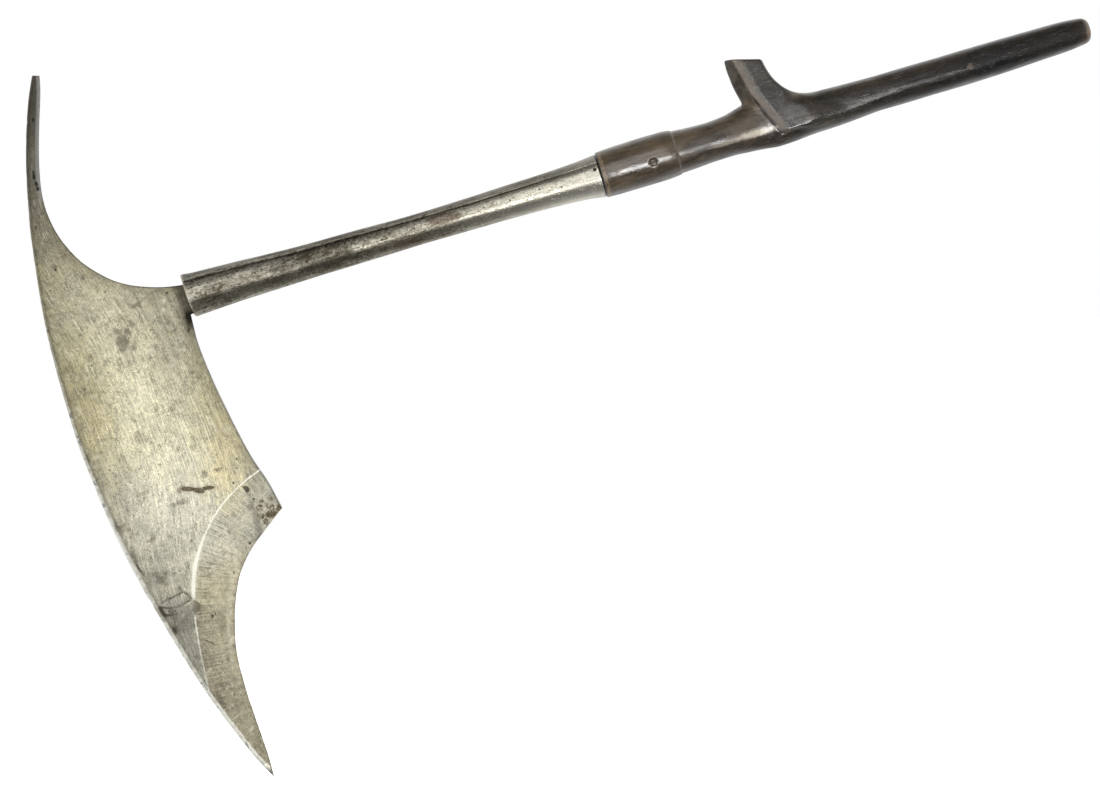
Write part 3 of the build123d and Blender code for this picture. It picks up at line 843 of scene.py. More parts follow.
    # smudges, rust, spots and cuts with ragged rims
    rim = ragged.swing(8.0) + fine_ragged.swing(5.0)
    smudge = attr("smudge") + rim
    smudged = smudge.ease(0.9, -1.4)
    paint(smudged * 0.60, (98, 91, 76))
    paint(smudge.ease(0.6, -0.6) * z.ease(95.0, 102.0) * 0.7, (34, 32, 28))
    rusted = (attr("rust") + rim * 0.30).ease(0.35, -0.30)
    rust_colour = mat.ramp(fine_ragged, [(0.3, srgb(44, 34, 20)), (0.5, srgb(84, 68, 42)),
                                         (0.60, srgb(110, 94, 62)), (0.72, srgb(190, 180, 148))])
    paint((attr("rust") + rim * 0.5).ease(2.4, 0.0) * 0.22, (138, 122, 92))
    flaking = noise(pos, 1 / 4.6, 5, 0.75, 0.6).ease(0.44, 0.52)
    paint(rusted * flaking.at_least(station.ease(-6.0, -12.0)) * 0.88, rust_colour)
    spotted = (attr("spot") + rim * 0.16).ease(0.30, -0.40)
    paint(spotted * 0.85, mat.mix(z.ease(90.0, 100.0), srgb(66, 60, 48), srgb(22, 20, 18)))
    cut = (attr("cut") + fine_ragged.swing(2.0)).ease(1.35, 0.25)
    paint(cut * 0.78, (72, 68, 58))

    # the ridge: a rubbed line, broken in one place, thin below
    width = along_ridge.line(0.42, 0.50, 0.50, 0.42)
    width = width + along_ridge.ease(0.24, 0.36) * along_ridge.ease(0.55, 0.42) * 1.05
    wander = noise(pos, 1 / 2.0, 4, 0.65).swing(1.9) + fine_ragged.swing(0.7)
    rubbed = (to_ridge + wander).ease(width + 0.45, width - 0.40)
    unbroken = 1.0 - (blob(-64.2, -240.2, 7.5, 7.5) * 1.5).at_most(1.0)
    fade = along_ridge.line(0.55, 0.66, 1.0, 0.45) * along_ridge.ease(0.80, 0.74)
    paint(rubbed * 0.70 * (unbroken * fade), (248, 247, 236))
    glow = (to_ridge + wander * 2.0).ease(5.0, 0.8)
    paint(glow * (along_ridge.ease(0.16, 0.3) * along_ridge.ease(0.50, 0.4)) * 0.25,
          (236, 232, 212))
    # a paler streak down the lower bevel
    streak = abs(attr("d_hollow") + ragged.swing(3.0) - 4.5).ease(4.0, 0.5)
    lower = bevel * (z.ease(-205.0, -225.0) * z.ease(-320.0, -270.0))
    paint(streak * lower * 0.16, (232, 228, 206))

    # painted shadow and dark stain where the plate enters the tube
    ragged_x = station + ragged.swing(7.0)
    paint(ragged_x.ease(-15.0, -5.0) * 0.78 * z.ease(-34.0, -20.0), (52, 47, 38))
    # black painted shadow in the corner under the tube's end
    corner = ragged_x.ease(-9.0, -5.0) * (z.ease(-27.0, -18.0) * z.ease(-8.0, -14.0))
    paint(corner * 0.95, (18, 16, 12))

    rough = 0.42 + flecks.swing(0.22) + clouds * 0.10 + rusted * 0.35 + smudged * 0.15
    metal = 0.88 - (rusted * 0.8).at_least(smudged * 0.3)
    height = (grains * 0.55 + streaks * 0.65 + dust * 0.25 + lines * bevel * 1.2
              - pits * 0.8 - large_pits * 1.0 - cut * 0.9
              + rusted * fine_ragged * 1.2 - spotted * 1.2)
    return mat.finish(rough, metal, height, strength=0.40, depth=0.00018)


# ----------------------------------------------------------------------------- tube
# station, outer radius, height of the centre
TUBE = [(0, 17.25, -.15), (32, 15.75, -.05), (64, 14.45, -.35), (96, 13.45, -.75),
        (144, 12.75, -.85), (192, 12.05, -.95), (232, 12.4, -.8), (272, 13.05, -.55),
        (304, 13.95, -.6), (328, 15.3, -.7), (TUBE_LENGTH, 17.1, -1.1)]
WALL = 2.4
LAP = 0.9               # how far the overlapping flap stands proud


def build_tube():
    """Sheet rolled about the haft; turn is in degrees from the flap's free edge, going up."""
    ends = [0.3, 0.7, TUBE_LENGTH - 0.3, TUBE_LENGTH - 0.7]
    stations = np.unique(np.concatenate([np.linspace(0, TUBE_LENGTH, 300), ends]))
    knots, radii, centres = np.array(TUBE).T
    radius = monotone(knots, radii, stations)[:, None]
    centre = monotone(knots, centres, stations)[:, None]
    turns = np.concatenate([[0.0, 0.35, 1.2, 2.5], np.linspace(4.5, 352, 132),
                            [355.5, 357.8, 359.2, 359.9]])
    rows, columns = len(stations), len(turns)
    turn, along = np.meshgrid(turns, stations)
    # the seam turns 8 degrees on its way along the tube and wanders slightly
    line = np.column_stack([stations, stations * 0, stations * 0])
    wander = 2.2 * lumps(line, 60, octaves=2, seed=31)
    seam = 44.0 - 8.0 * (stations / TUBE_LENGTH)[:, None]
    angle = np.radians(seam + wander[:, None] + turn)
    cos, sin = np.cos(angle), np.sin(angle)
    skin = np.column_stack([along.ravel(), (cos * radius).ravel(), (sin * radius).ravel()])

    # the lap, the flap's rounded free edge and the groove beside it
    outer = radius + LAP * np.maximum(0, 1 - turn / 200.0)
    outer = outer - 0.34 * np.exp(-(turn / 0.9) ** 2) - 0.30 * np.exp(-((360 - turn) / 2.0) ** 2)
    # dents and faint lengthwise flats
    dents = (0.20 * lumps(skin, (34, 11, 11), octaves=2, seed=51)
             + 0.07 * lumps(skin, (9, 5, 5), octaves=2, seed=52)
             + 0.03 * lumps(skin, 2.6, octaves=2, seed=53))
    flats = 0.10 * np.cos(np.radians(turn * 7 + 40 * np.sin(along / 41.0)))
    outer = outer + dents.reshape(outer.shape) + flats * ease(0, 3, turn) * ease(360, 356, turn)
    # rounded rims; the flap's corner sticks up at the blade end
    rounding = 1 - ease(0, 0.8, np.minimum(along, TUBE_LENGTH - along))
    lift = np.exp(-((turn - 38) / 26.0) ** 2) * np.exp(-(along / 5.0) ** 2)
    outer = outer - 0.45 * rounding + 0.7 * lift
    bore = (radius - WALL + 0.05 * lumps(skin, 12, octaves=2, seed=71).reshape(outer.shape)
            + 0.30 * rounding + 0.5 * lift)

    around = np.column_stack([(turn * 0.12).ravel(), along.ravel() * 0, along.ravel() * 0])
    ragged_blade = 0.25 * lumps(around, 3, octaves=3, seed=61).reshape(along.shape)
    ragged_mouth = 0.12 * lumps(around, 3, octaves=3, seed=67).reshape(along.shape)
    by_blade = np.exp(-along / 9.0)
    by_mouth = np.exp(-(TUBE_LENGTH - along) / 7.0)

    def shell(distance):
        """Points at a distance from the axis; the blade end is cut aslant and ragged."""
        z = centre + distance * sin
        x = along + by_blade * (-0.048 * z + ragged_blade) - 0.9 * lift * np.exp(-along / 3.0)
        x = x - by_mouth * np.abs(ragged_mouth)
        return np.column_stack([x.ravel(), (-distance * cos).ravel(), z.ravel()])

    count = rows * columns
    index = np.arange(count).reshape(rows, columns)
    following = np.roll(index, -1, axis=1)
    a, b, c, d = index[:-1], following[:-1], following[1:], index[1:]
    faces = np.stack([a, d, c, b], -1).reshape(-1, 4).tolist()
    faces += (np.stack([a, b, c, d], -1).reshape(-1, 4) + count).tolist()
    for row, order in ((0, 1), (rows - 1, -1)):
        rim, after = index[row], following[row]
        faces += np.stack([rim, after, after + count, rim + count], -1)[:, ::order].tolist()

    all_turn = np.concatenate([turn.ravel(), turn.ravel()])
    all_along = np.concatenate([along.ravel(), along.ravel()])
    is_bore = np.concatenate([np.zeros(count), np.ones(count)])
    # skin: the sheet laid flat at a mean radius of 13 mm
    unrolled = np.column_stack([all_along, all_turn / 360.0 * 2 * math.pi * 13.0, is_bore * 50])
    return add_mesh("tube_rolled", np.vstack([shell(outer), shell(bore)]), faces,
                    sharp_degrees=42, attributes={"turn": all_turn, "along": all_along,
                                                  "bore": is_bore, "skin": unrolled})


def tube_material():
    mat = Material("tube_iron_worn")
    noise, paint, attr, pos = mat.noise, mat.paint, mat.attr, mat.position
    turn = attr("turn")
    along = attr("along")
    skin = attr("skin", "Vector")
    blotches = noise(pos, 1 / 15, 4, 0.6, 0.5, stretch=(0.5, 1, 1))
    flecks = noise(pos, 1 / 4.6, 5, 0.68, 0.4, stretch=(0.45, 1, 1))
    grains = noise(pos, 1 / 1.7, 4, 0.72, stretch=(0.7, 1, 1))
    dust = noise(pos, 1 / 1.1, 2, 0.6)
    streaks = noise(skin, 1.0, 4, 0.62, stretch=(0.035, 0.9, 1.0))
    # worn pewter against darker patina; most worn towards the mouth
    wear = (flecks.swing(1.2) + grains.swing(1.9) + blotches.swing(1.1) + streaks.swing(0.9)
            + dust.swing(0.8) + along.line(190, 330, 0.0, 0.42)
            - abs(along - 105.0).ease(55.0, 10.0) * 0.16)
    worn = wear.ease(-0.50, 0.62)
    mat.colour = mat.mix(worn, srgb(82, 76, 60), srgb(208, 204, 188))
    brown = noise(pos, 1 / 12, 4, 0.65, 0.8, stretch=(0.5, 1, 1)) + grains.swing(0.25)
    brown = brown.ease(0.56, 0.70)
    paint(brown * 0.45, (100, 86, 66))

    def stain(station, height, half_length, half_height):
        """Ragged oval on the near side."""
        x, y, z = mat.xyz(pos)
        across = (x - X0 - station) * (1.0 / half_length)
        upward = (z - height) * (1.0 / half_height)
        near = y.ease(2.0, -3.0)
        radius = mat.math("SQRT", across * across + upward * upward)
        return near * (radius + flecks.swing(1.5)).ease(1.05, 0.65)

    # russet stains in the middle
    russet = stain(212, 1.0, 17, 5.5).at_least(stain(177, -9.0, 11, 4.0))
    paint(russet.at_least(stain(190, -12.0, 26, 3.0) * 0.6) * 0.62, (104, 84, 70))
    # a dull dark stretch nearer the blade end
    dull = stain(112, -5.5, 32, 5.0).at_least(stain(60, -9.0, 44, 5.0) * 0.6)
    paint(dull.at_least(stain(98, -0.5, 36, 5.5) * 0.75) * 0.60, (48, 44, 34))
    # small and larger pits
    pit_cells = mat.cells(mat.warp(pos, noise(pos, 0.8, 3, 0.6, out="Color"), 1.6), 1 / 2.0)
    pitted = noise(pos, 1 / 7.0, 3, 0.6)
    pits = pit_cells.ease(0.34, 0.12) * pitted.ease(0.42, 0.62)
    paint(pits * 0.60, (50, 45, 35))
    pit_cells = mat.cells(mat.warp(pos, noise(pos, 0.4, 3, 0.6, out="Color"), 3.0), 1 / 8.0)
    large_pits = pit_cells.ease(0.19, 0.08) * pitted.ease(0.42, 0.54)
    paint(large_pits * 0.75, (40, 36, 29))
    # dirt and painted shade in the seam, a rubbed lip with a painted highlight beside it, then
    # painted shade over the flap along the top
    paint(turn.ease(1.4, 0.3).at_least(turn.ease(353.0, 359.0)) * 0.95, (22, 20, 16))
    # painted highlight on the rubbed lip
    lip = turn.ease(1.5, 3.0) * turn.ease(12.0, 5.0)
    paint(lip * 0.62 * flecks.ease(0.42, 0.56), (196, 190, 172))
    # painted shade over the flap, across the top of the tube
    paint(turn.ease(8.0, 16.0) * turn.ease(120.0, 90.0) * 0.62, (66, 58, 44))
    # towards the mouth, painted light below and painted shade above
    height = mat.xyz(pos)[2] + flecks.swing(4.0)
    by_mouth = along.ease(215.0, 325.0)
    paint(height.ease(-3.0, -8.5) * by_mouth * 0.68, (246, 243, 230))
    paint(height.ease(1.5, 7.0) * by_mouth * 0.30, (84, 78, 62))
    # painted shade in a band on the lower near side
    paint(turn.ease(230.0, 262.0) * turn.ease(322.0, 292.0) * 0.30, (84, 78, 62))
    # rubbed rim with a painted highlight at the blade end, pale mouth, painted shade and dirt in the
    # joint at the very end
    paint((along + grains.swing(1.5)).ease(1.9, 0.8) * 0.55, (210, 204, 186))
    paint((along + flecks.swing(40.0)).ease(300.0, 338.0) * 0.30, (224, 221, 208))
    # painted shade and dirt in the joint against the collar
    joint = (along + grains.swing(0.8)).ease(341.9, 342.6)
    paint(joint * 0.95, (16, 14, 11))
    paint(attr("bore") * 0.85, (40, 34, 27))
    # scratches along the tube, bright and dark
    bright = noise(skin, 1.0, 2, 0.55, stretch=(0.03, 1.3, 1.0), shift=(9, 2, 0))
    paint(bright.ease(0.64, 0.70) * 0.30, (206, 200, 182))
    dark = noise(skin, 1.0, 2, 0.55, stretch=(0.04, 1.1, 1.0), shift=(3, 12, 0))
    paint(dark.ease(0.64, 0.70) * 0.35, (50, 46, 36))

    rough = 0.27 + (1.0 - worn) * 0.16 + pits * 0.25
    relief = grains * 1.0 + dust * 0.5 - pits * 1.2 - large_pits * 1.6
    metal = 0.92 - pits.at_least(joint).at_least(brown * 0.4) * 0.6
    return mat.finish(rough, metal, relief, strength=0.50, depth=0.00022)


# ----------------------------------------------------------------------------- handle: shape
# station, top z, bottom z, half width in y
COLLAR = [(342, 17.9, -18.6, 18.1), (344, 18.1, -18.8, 18.3), (356, 18.8, -19.2, 19.0),
          (384, 19.4, -19.1, 19.2), (398, 19.3, -18.7, 18.9), (407, 18.2, -17.9, 18.0)]
BODY = [(400, 17.5, -17.3, 17.3), (407, 17.4, -17.2, 17.2), (418, 16.6, -16.8, 16.4),
        (434, 16.0, -15.8, 15.6), (450, 17.3, -15.5, 14.6), (463, 20.4, -16.3, 13.4),
        (476, 24.0, -17.4, 12.4), (488, 26.0, -18.6, 12.2), (500, 23.6, -18.2, 13.4),
        (514, 16.4, -17.2, 14.4), (534, 15.2, -16.4, 14.6), (556, 14.3, -15.1, 14.2),
        (575, 13.9, -13.9, 13.9), (640, 13.9, -13.9, 13.9), (680, 13.9, -12.9, 13.4),
        (712, 13.6, -11.6, 12.6), (732, 13.0, -10.7, 11.9), (743, 12.1, -9.5, 10.9),
        (760, 8.9, -6.3, 8.0)]
# z, then the stations of the upright spur's keel, shoulder and hind side
SPUR = [(-9.5, 479, 492, 546), (2, 474, 487, 534), (15.6, 470, 481, 514),
        (26.1, 467.2, 476.8, 502), (39.1, 464.6, 473.6, 494.9), (52, 463.5, 470.6, 492.2),
        (58.2, 463.8, 469, 491.8)]
SPUR_HALF = 14.0        # half width across the spur's cheeks
KEEL_HALF = 4.0
BUTT = 751.0
BORE_RADIUS, BORE_END = 11.05, 402.0
VOXEL = 0.86
HANDLE_LOW = (342.2, -21.5, -22.0)
HANDLE_HIGH = (753.0, 21.5, 61.5)


def smooth_min(a, b, blend):
    t = np.clip(0.5 + 0.5 * (b - a) / blend, 0, 1)
    return b + (a - b) * t - blend * t * (1 - t)


def smooth_max(a, b, blend):
    return -smooth_min(-a, -b, blend)


def oval_bar(x, y, z, rows):
    stations, *sizes = np.array(rows, float).T
    top, bottom, half_width = [monotone(stations, size, x) for size in sizes]
    middle = (top + bottom) / 2
    half_height = (top - bottom) / 2
    radius = np.sqrt((y / half_width) ** 2 + ((z - middle) / half_height) ** 2)
    return (radius - 1) * np.minimum(half_width, half_height)


def spur_stations(z):
    """Stations of the keel, the shoulder and the hind side at height z."""
    heights, *columns = np.array(SPUR, float).T
    return [monotone(heights, column, z) for column in columns]


def spur_distance(x, out, z):
    """Upright prism with a narrow keel towards the blade; out is the distance from y = 0."""
    keel, shoulder, hind = spur_stations(z)
    cheek = out - SPUR_HALF
    # slanted faces from the keel to the shoulder
    rise = SPUR_HALF - KEEL_HALF
    slope = shoulder - keel
    slant = ((keel - x) * rise + (out - KEEL_HALF) * slope) / np.hypot(slope, rise)
    heights, _, _, hinds = np.array(SPUR, float).T
    lean = np.interp(z, heights, np.gradient(hinds, heights))
    back = (x - hind) / np.sqrt(1 + lean * lean)
    back = back + 0.018 * np.maximum(0, out - 6.0) ** 2 * ease(8, 34, z)
    spur = smooth_max(cheek, slant, 0.9)
    spur = smooth_max(spur, keel - x, 1.4)
    spur = smooth_max(spur, back, 1.6 + 15.0 * ease(26, 6, z))
    # sloping cut across its top
    normal_x, normal_z = 7.7, 26.5
    top = (x - 466.5) * normal_x + (z - 58.6) * normal_z
    spur = smooth_max(spur, top / math.hypot(normal_x, normal_z), 1.5)
    # its foot dies into the grip
    foot = -(z + 9.2 - (x - 491.7) * 0.045)
    spur = smooth_max(spur, foot, 1.2 + 10.0 * ease(506, 532, x))
    # chamfer along the shoulder
    chamfer = (out - SPUR_HALF + (shoulder + 5.6 - x) * 0.30) / math.hypot(1, 0.30)
    spur = smooth_max(spur, chamfer, 0.5)
    # very slight hollow in the cheek
    hollow = np.exp(-((x - 497) / 14.0) ** 2 - ((z - 22) / 20.0) ** 2)
    return spur + 0.25 * hollow * ease(12.5, 14, out)


def handle_distance(points):
    """Signed distance in mm of the carved handle at points (n, 3)."""
    x, y, z = points.T
    out = np.abs(y)
    # collar, cut square at both ends with worn corners
    collar = oval_bar(x, y, z, COLLAR)
    collar = smooth_max(collar, 343.35 - x, 0.9)
    collar = smooth_max(collar, x - 406.9, 2.2)
    # waist, grip and butt as one bar, with long flats running on from the spur's cheeks
    body = oval_bar(x, y, z, BODY)
    body = smooth_max(body, 400.0 - x, 0.5)
    flat = out * 0.9986 - z * 0.052 - (13.45 + 8.0 * ease(508, 494, x) + 1.7 * ease(545, 622, x))
    body = smooth_max(body, flat, 1.2)
    # the butt: rounded, fuller at the top
    body = smooth_max(body, x - BUTT + 0.055 * np.maximum(0, -z) ** 1.15, 5.5)
    solid = smooth_min(collar, body, 0.25)
    solid = smooth_min(solid, spur_distance(x, out, z), 2.1 + 5.0 * ease(499, 517, x))
    # groove where the waist meets the spur's shoulder
    shoulder = spur_stations(z)[1]
    groove = np.exp(-((x - (shoulder - 0.85)) / 0.95) ** 2)
    groove = groove * ease(13.4, 12.6, out) * ease(-11.5, -8.5, z) * ease(26, 20, z)
    solid = solid + 0.95 * groove
    # small hollow under the spur's foot
    dimple = ((x - 492.5) / 4.0) ** 2 + ((z + 9.6) / 1.3) ** 2
    solid = solid + 1.0 * np.exp(-dimple) * ease(9, 11, out)
    solid = solid + 0.16 * lumps(points, (26, 12, 12), octaves=2, seed=81) * ease(344, 350, x)
    solid = solid + 0.05 * lumps(points, (14, 3.2, 3.2), octaves=2, seed=83)
    # bore for the tenon
    bore = np.maximum(np.hypot(y, z) - BORE_RADIUS, x - BORE_END)
    solid = smooth_max(solid, -bore, 0.3)
    # ring cut round the peg on the near side, and the peg's hole
    from_peg = np.hypot(x - PEG_X, z - PEG_Z)
    ring = np.maximum(np.abs(from_peg - 3.22) - 0.44, y + 18.45)
    solid = smooth_max(solid, -ring, 0.25)
    hole = np.maximum(from_peg - 2.95, out - 30)
    return smooth_max(solid, -hole, 0.2)


def surface_nets(field, low, high, step, chunk=24):
    """Quads around field's zero surface, facing out; one point for each crossed cell."""
    shape = [int(math.ceil((high[k] - low[k]) / step)) + 1 for k in range(3)]
    count_x, count_y, count_z = shape
    grid = np.empty(shape, np.float32)
    ys = low[1] + step * np.arange(count_y)
    zs = low[2] + step * np.arange(count_z)
    for start in range(0, count_x, chunk):
        xs = low[0] + step * np.arange(start, min(count_x, start + chunk))
        block = np.stack(np.meshgrid(xs, ys, zs, indexing="ij"), -1).reshape(-1, 3)
        grid[start:start + len(xs)] = field(block).reshape(len(xs), count_y, count_z)
    solid = grid < 0
    corners = [(i, j, k) for i in (0, 1) for j in (0, 1) for k in (0, 1)]
    filled = np.zeros([size - 1 for size in shape], np.int8)
    for i, j, k in corners:
        filled += solid[i:count_x - 1 + i, j:count_y - 1 + j, k:count_z - 1 + k]
    cells = np.argwhere((filled > 0) & (filled < 8))
    number = -np.ones(filled.shape, np.int64)
    number[tuple(cells.T)] = np.arange(len(cells))

    # each point is the mean of the crossings on its cell's edges
    total = np.zeros((len(cells), 3))
    crossings = np.zeros(len(cells))
    for corner in corners:
        for axis in range(3):
            if corner[axis] == 1:
                continue
            other = list(corner)
            other[axis] = 1
            first = grid[tuple((cells + corner).T)]
            second = grid[tuple((cells + other).T)]
            crossed = (first < 0) != (second < 0)
            place = np.tile(np.array(corner, float), (len(cells), 1))
            place[:, axis] = np.where(crossed, first / np.where(crossed, first - second, 1), 0)
            total[crossed] += place[crossed]
            crossings[crossed] += 1
    points = (cells + total / np.maximum(crossings, 1)[:, None]) * step + np.array(low)

    faces = []
    for axis in range(3):
        before = [slice(None)] * 3
        after = [slice(None)] * 3
        before[axis] = slice(0, -1)
        after[axis] = slice(1, None)
        edges = np.argwhere(solid[tuple(before)] != solid[tuple(after)])
        u, v = [other for other in range(3) if other != axis]
        edges = edges[(edges[:, u] > 0) & (edges[:, v] > 0)
                      & (edges[:, u] < shape[u] - 1) & (edges[:, v] < shape[v] - 1)]
        quads = []
        for step_u, step_v in ((-1, -1), (0, -1), (0, 0), (-1, 0)):
            neighbour = edges.copy()
            neighbour[:, u] += step_u
            neighbour[:, v] += step_v
            quads.append(number[tuple(neighbour.T)])
        quads = np.stack(quads, -1)
        inside_first = solid[tuple(edges.T)]
        turned = inside_first if axis == 1 else ~inside_first
        quads[turned] = quads[turned][:, ::-1]
        faces.append(quads)
    return points, np.vstack(faces)


def gradient(field, points, step):
    return np.column_stack([field(points + offset) - field(points - offset)
                            for offset in np.eye(3) * step]) / (2 * step)


def project(field, points, step, rounds=3, limit=0.6):
    """Draw points onto the zero surface, none further than limit steps."""
    start = points.copy()
    for _ in range(rounds):
        dist = field(points)
        slope = gradient(field, points, 0.12 * step)
        steepness = np.maximum((slope * slope).sum(1), 0.05)
        points = points - slope * (np.clip(dist, -step, step) / steepness)[:, None]
        move = points - start
        length = np.linalg.norm(move, axis=1)
        points = start + move * np.minimum(1, limit * step / np.maximum(length, 1e-9))[:, None]
    return points


def build_handle():
    points, faces = surface_nets(handle_distance, HANDLE_LOW, HANDLE_HIGH, VOXEL)
    points = project(handle_distance, points, VOXEL)
    x, y, z = points.T
    # the distances a little inside and outside tell worn corners from hollows
    normal = gradient(handle_distance, points, 0.3)
    normal /= np.maximum(np.linalg.norm(normal, axis=1)[:, None], 1e-9)
    depth = 2.4
    inside = handle_distance(points - normal * depth) / depth
    outside = handle_distance(points + normal * depth) / depth
    keel, shoulder, hind = spur_stations(z)
    out = np.abs(y)
    by_spur = (z > -12) & ((out > 10) | (z > 20)) & (x > 460) & (x < 500)
    past_shoulder = np.where(by_spur, x - shoulder, 30.0)
    on_spur = ease(-1.5, 1.0, x - keel) * ease(3, -3, x - hind) * ease(12.0, 13.4, out)
    keel_face = ease(-2.2, -0.6, x - keel) * ease(0.6, -0.8, x - shoulder) * ease(14, 20, z)
    return add_mesh("handle_carved", points, faces, attributes={
        "keelface": keel_face,
        "ridge": np.clip((inside + 1.0) * 1.2, -1, 1),
        "hollow": np.clip((1.0 - outside) * 1.2, -1, 1),
        "d_shoulder": np.clip(past_shoulder, -30, 30),
        "spur": on_spur,
        "along": x,
        "peg": np.hypot(x - PEG_X, z - PEG_Z),
    })


# ----------------------------------------------------------------------------- handle: wood
def handle_material():
    mat = Material("handle_wood_dark")
    noise, paint, attr, pos = mat.noise, mat.paint, mat.attr, mat.position
    x, y, z = mat.xyz(pos)
    along = x - X0
    ridge = attr("ridge")
    hollow = attr("hollow")
    bend = noise(pos, 1.0, 3, 0.6, stretch=(0.018, 0.07, 0.07), out="Color")
    bent = mat.warp(pos, bend, 9.0)
    grain = noise(bent, 1.0, 4, 0.62, stretch=(0.035, 0.75, 0.75))
    fine = noise(bent, 1.0, 3, 0.65, stretch=(0.10, 2.6, 2.6))
    broad = noise(pos, 1.0, 3, 0.6, stretch=(0.012, 0.045, 0.045))
    blotches = noise(pos, 1.0, 4, 0.65, 0.3, stretch=(0.045, 0.11, 0.11))

    # by station: worn brown-grey collar and waist, near black grip, lighter butt
    light = mat.ramp(along.line(340, BUTT), [
        (0.00, srgb(106, 90, 69)), (0.16, srgb(99, 86, 68)), (0.24, srgb(84, 74, 61)),
        (0.40, srgb(71, 63, 53)), (0.58, srgb(56, 49, 42)), (0.80, srgb(29, 26, 23)),
        (0.96, srgb(34, 28, 23)), (1.0, srgb(80, 63, 46))])
    dark = mat.gain(light, 0.24)
    # lighter and browner along the upper side
    light = mat.mix(z.ease(3.0, 16.0) * along.line(560, 700, 0.52, 0.22), light,
                    srgb(130, 112, 86))
    figure = grain.swing(0.75) + fine.swing(0.7) + blotches.swing(1.7) + broad.swing(1.0)
    mat.colour = mat.mix(figure.ease(-0.50, 0.60), dark, light)
    patches = noise(pos, 1.0, 5, 0.62, 0.8, stretch=(0.03, 0.09, 0.09), shift=(4, 8, 1))
    paint(patches.ease(0.52, 0.64) * 0.45, mat.gain(light, 0.26))
    paint(patches.ease(0.44, 0.34) * 0.26 * along.ease(590.0, 500.0), (128, 112, 96))
    # long dark pores
    pores = noise(bent, 1.0, 2, 0.5, stretch=(0.06, 1.9, 1.9), shift=(5, 3, 9)).ease(0.36, 0.28)
    paint(pores * 0.30, (24, 19, 15))
    # one small knot on the grip, with a dark ring
    knot = mat.value("VectorMath", "Value", {0: pos, 1: (649.0 + X0, -13.6, -1.5)},
                     operation="DISTANCE")
    knot = knot + blotches.swing(3.0)
    paint((knot + noise(pos, 1 / 2.2, 4, 0.7).swing(5.0)).ease(3.4, 1.8) * 0.45, (116, 98, 88))
    paint(abs(knot - 5.2).ease(2.0, 0.2) * 0.4, (26, 20, 16))

    # darker in hollows, less so round the peg; corners rubbed lighter
    ragged = noise(pos, 1 / 3.0, 4, 0.65)
    hollow_dark = (hollow + ragged.swing(0.3)).ease(0.25, 0.85)
    hollow_dark = hollow_dark * (1.0 - attr("peg").ease(5.6, 4.6) * along.ease(420.0, 410.0) * 0.55)
    paint(hollow_dark * 0.85, (14, 11, 9))
    paint((ridge + ragged.swing(0.9)).ease(0.35, 0.95) * 0.50, (122, 104, 84))
    # the collar's worn rim at the tube, with painted shade and dirt in black in the joint beside it
    rim = (along + ragged.swing(3.0)).ease(348.2, 346.0) * along.ease(344.2, 344.7)
    paint(rim * (ragged.ease(0.34, 0.56) * 0.72), (150, 128, 100))
    paint(along.ease(344.5, 344.0) * 0.96, (9, 8, 6))
    # worn patch with a painted highlight on the collar, ending raggedly at its step
    worn = along.ease(350.0, 372.0) * (along + ragged.swing(7.0)).ease(407.0, 403.0)
    paint(worn * abs(z - 4.0).ease(11.0, 4.0) * 0.20, (128, 108, 88))
    # spur: dark cheek, paler low down, tan shoulder edge, black painted shadow beside it
    spur = attr("spur") * along.ease(520.0, 498.0)
    cheek = mat.mix((blotches + ragged.swing(0.5)).ease(0.36, 0.66),
                    srgb(22, 18, 14), srgb(38, 31, 25))
    paint(spur * 0.85, cheek)
    past = attr("d_shoulder")
    low = z.ease(26.0, 4.0) * attr("d_shoulder").ease(29.0, 27.0)
    paint(past.ease(2.0, 5.0) * past.ease(26.0, 8.0) * low * 0.12, (104, 92, 80))
    tan = (past + ragged.swing(0.8)).ease(-0.9, -0.1) * (past + ragged.swing(3.0)).ease(6.6, 5.0)
    paint(tan * 0.50, (114, 100, 83))
    # black painted shadow along the shoulder's step
    paint(past.ease(-2.0, -1.1) * past.ease(0.1, -0.5) * z.ease(27.0, 20.0) * 0.92, (8, 7, 5))
    # greyer face between the keel and the shoulder
    face = z.ease(20.0, 27.0) * attr("keelface").ease(0.2, 0.8)
    paint(past.ease(-0.6, -2.0) * past.ease(-14.0, -12.0) * face * 0.72,
          mat.mix(blotches.ease(0.4, 0.6), srgb(38, 37, 34), srgb(62, 61, 56)))

    def patch(station, height, half_length, half_height):
        """Ragged oval on the near side."""
        across = (along - station) * (1.0 / half_length)
        upward = (z - height) * (1.0 / half_height)
        radius = across * across + upward * upward + ragged.swing(1.1)
        return radius.ease(1.1, 0.1) * y.ease(0.0, -5.0)

    # painted highlights, pale like polish, on the swelling before the spur and on the waist
    paint(patch(466, 1.0, 22, 11.0) * (0.32 * attr("spur").ease(0.5, 0.1)), (138, 122, 102))
    paint(patch(472, -4.0, 20, 3.4) * (0.70 * attr("spur").ease(0.5, 0.1)), (214, 202, 180))
    paint(patch(446, -5.0, 18, 2.2) * 0.42, (200, 190, 172))
    dull = patch(423, -3.0, 17, 8.0)
    # scratches across the cheek, then all over
    scratches = noise(pos, 1.0, 2, 0.6, stretch=(1.5, 0.4, 0.16)).ease(0.64, 0.72) * spur
    paint(scratches * 0.12, (110, 98, 86))
    marks = noise(pos, 1.0, 3, 0.6, stretch=(0.10, 1.4, 2.2), shift=(1, 2, 3))
    paint(marks.ease(0.66, 0.72) * 0.35, (150, 138, 122))
    # dusty peg hole, and the butt's end grain
    paint(attr("peg").ease(3.9, 3.5) * along.ease(420.0, 410.0) * 0.45, (112, 98, 80))
    paint((along + ragged.swing(6.0)).ease(745.5, 749.5) * 0.72, (134, 102, 70))

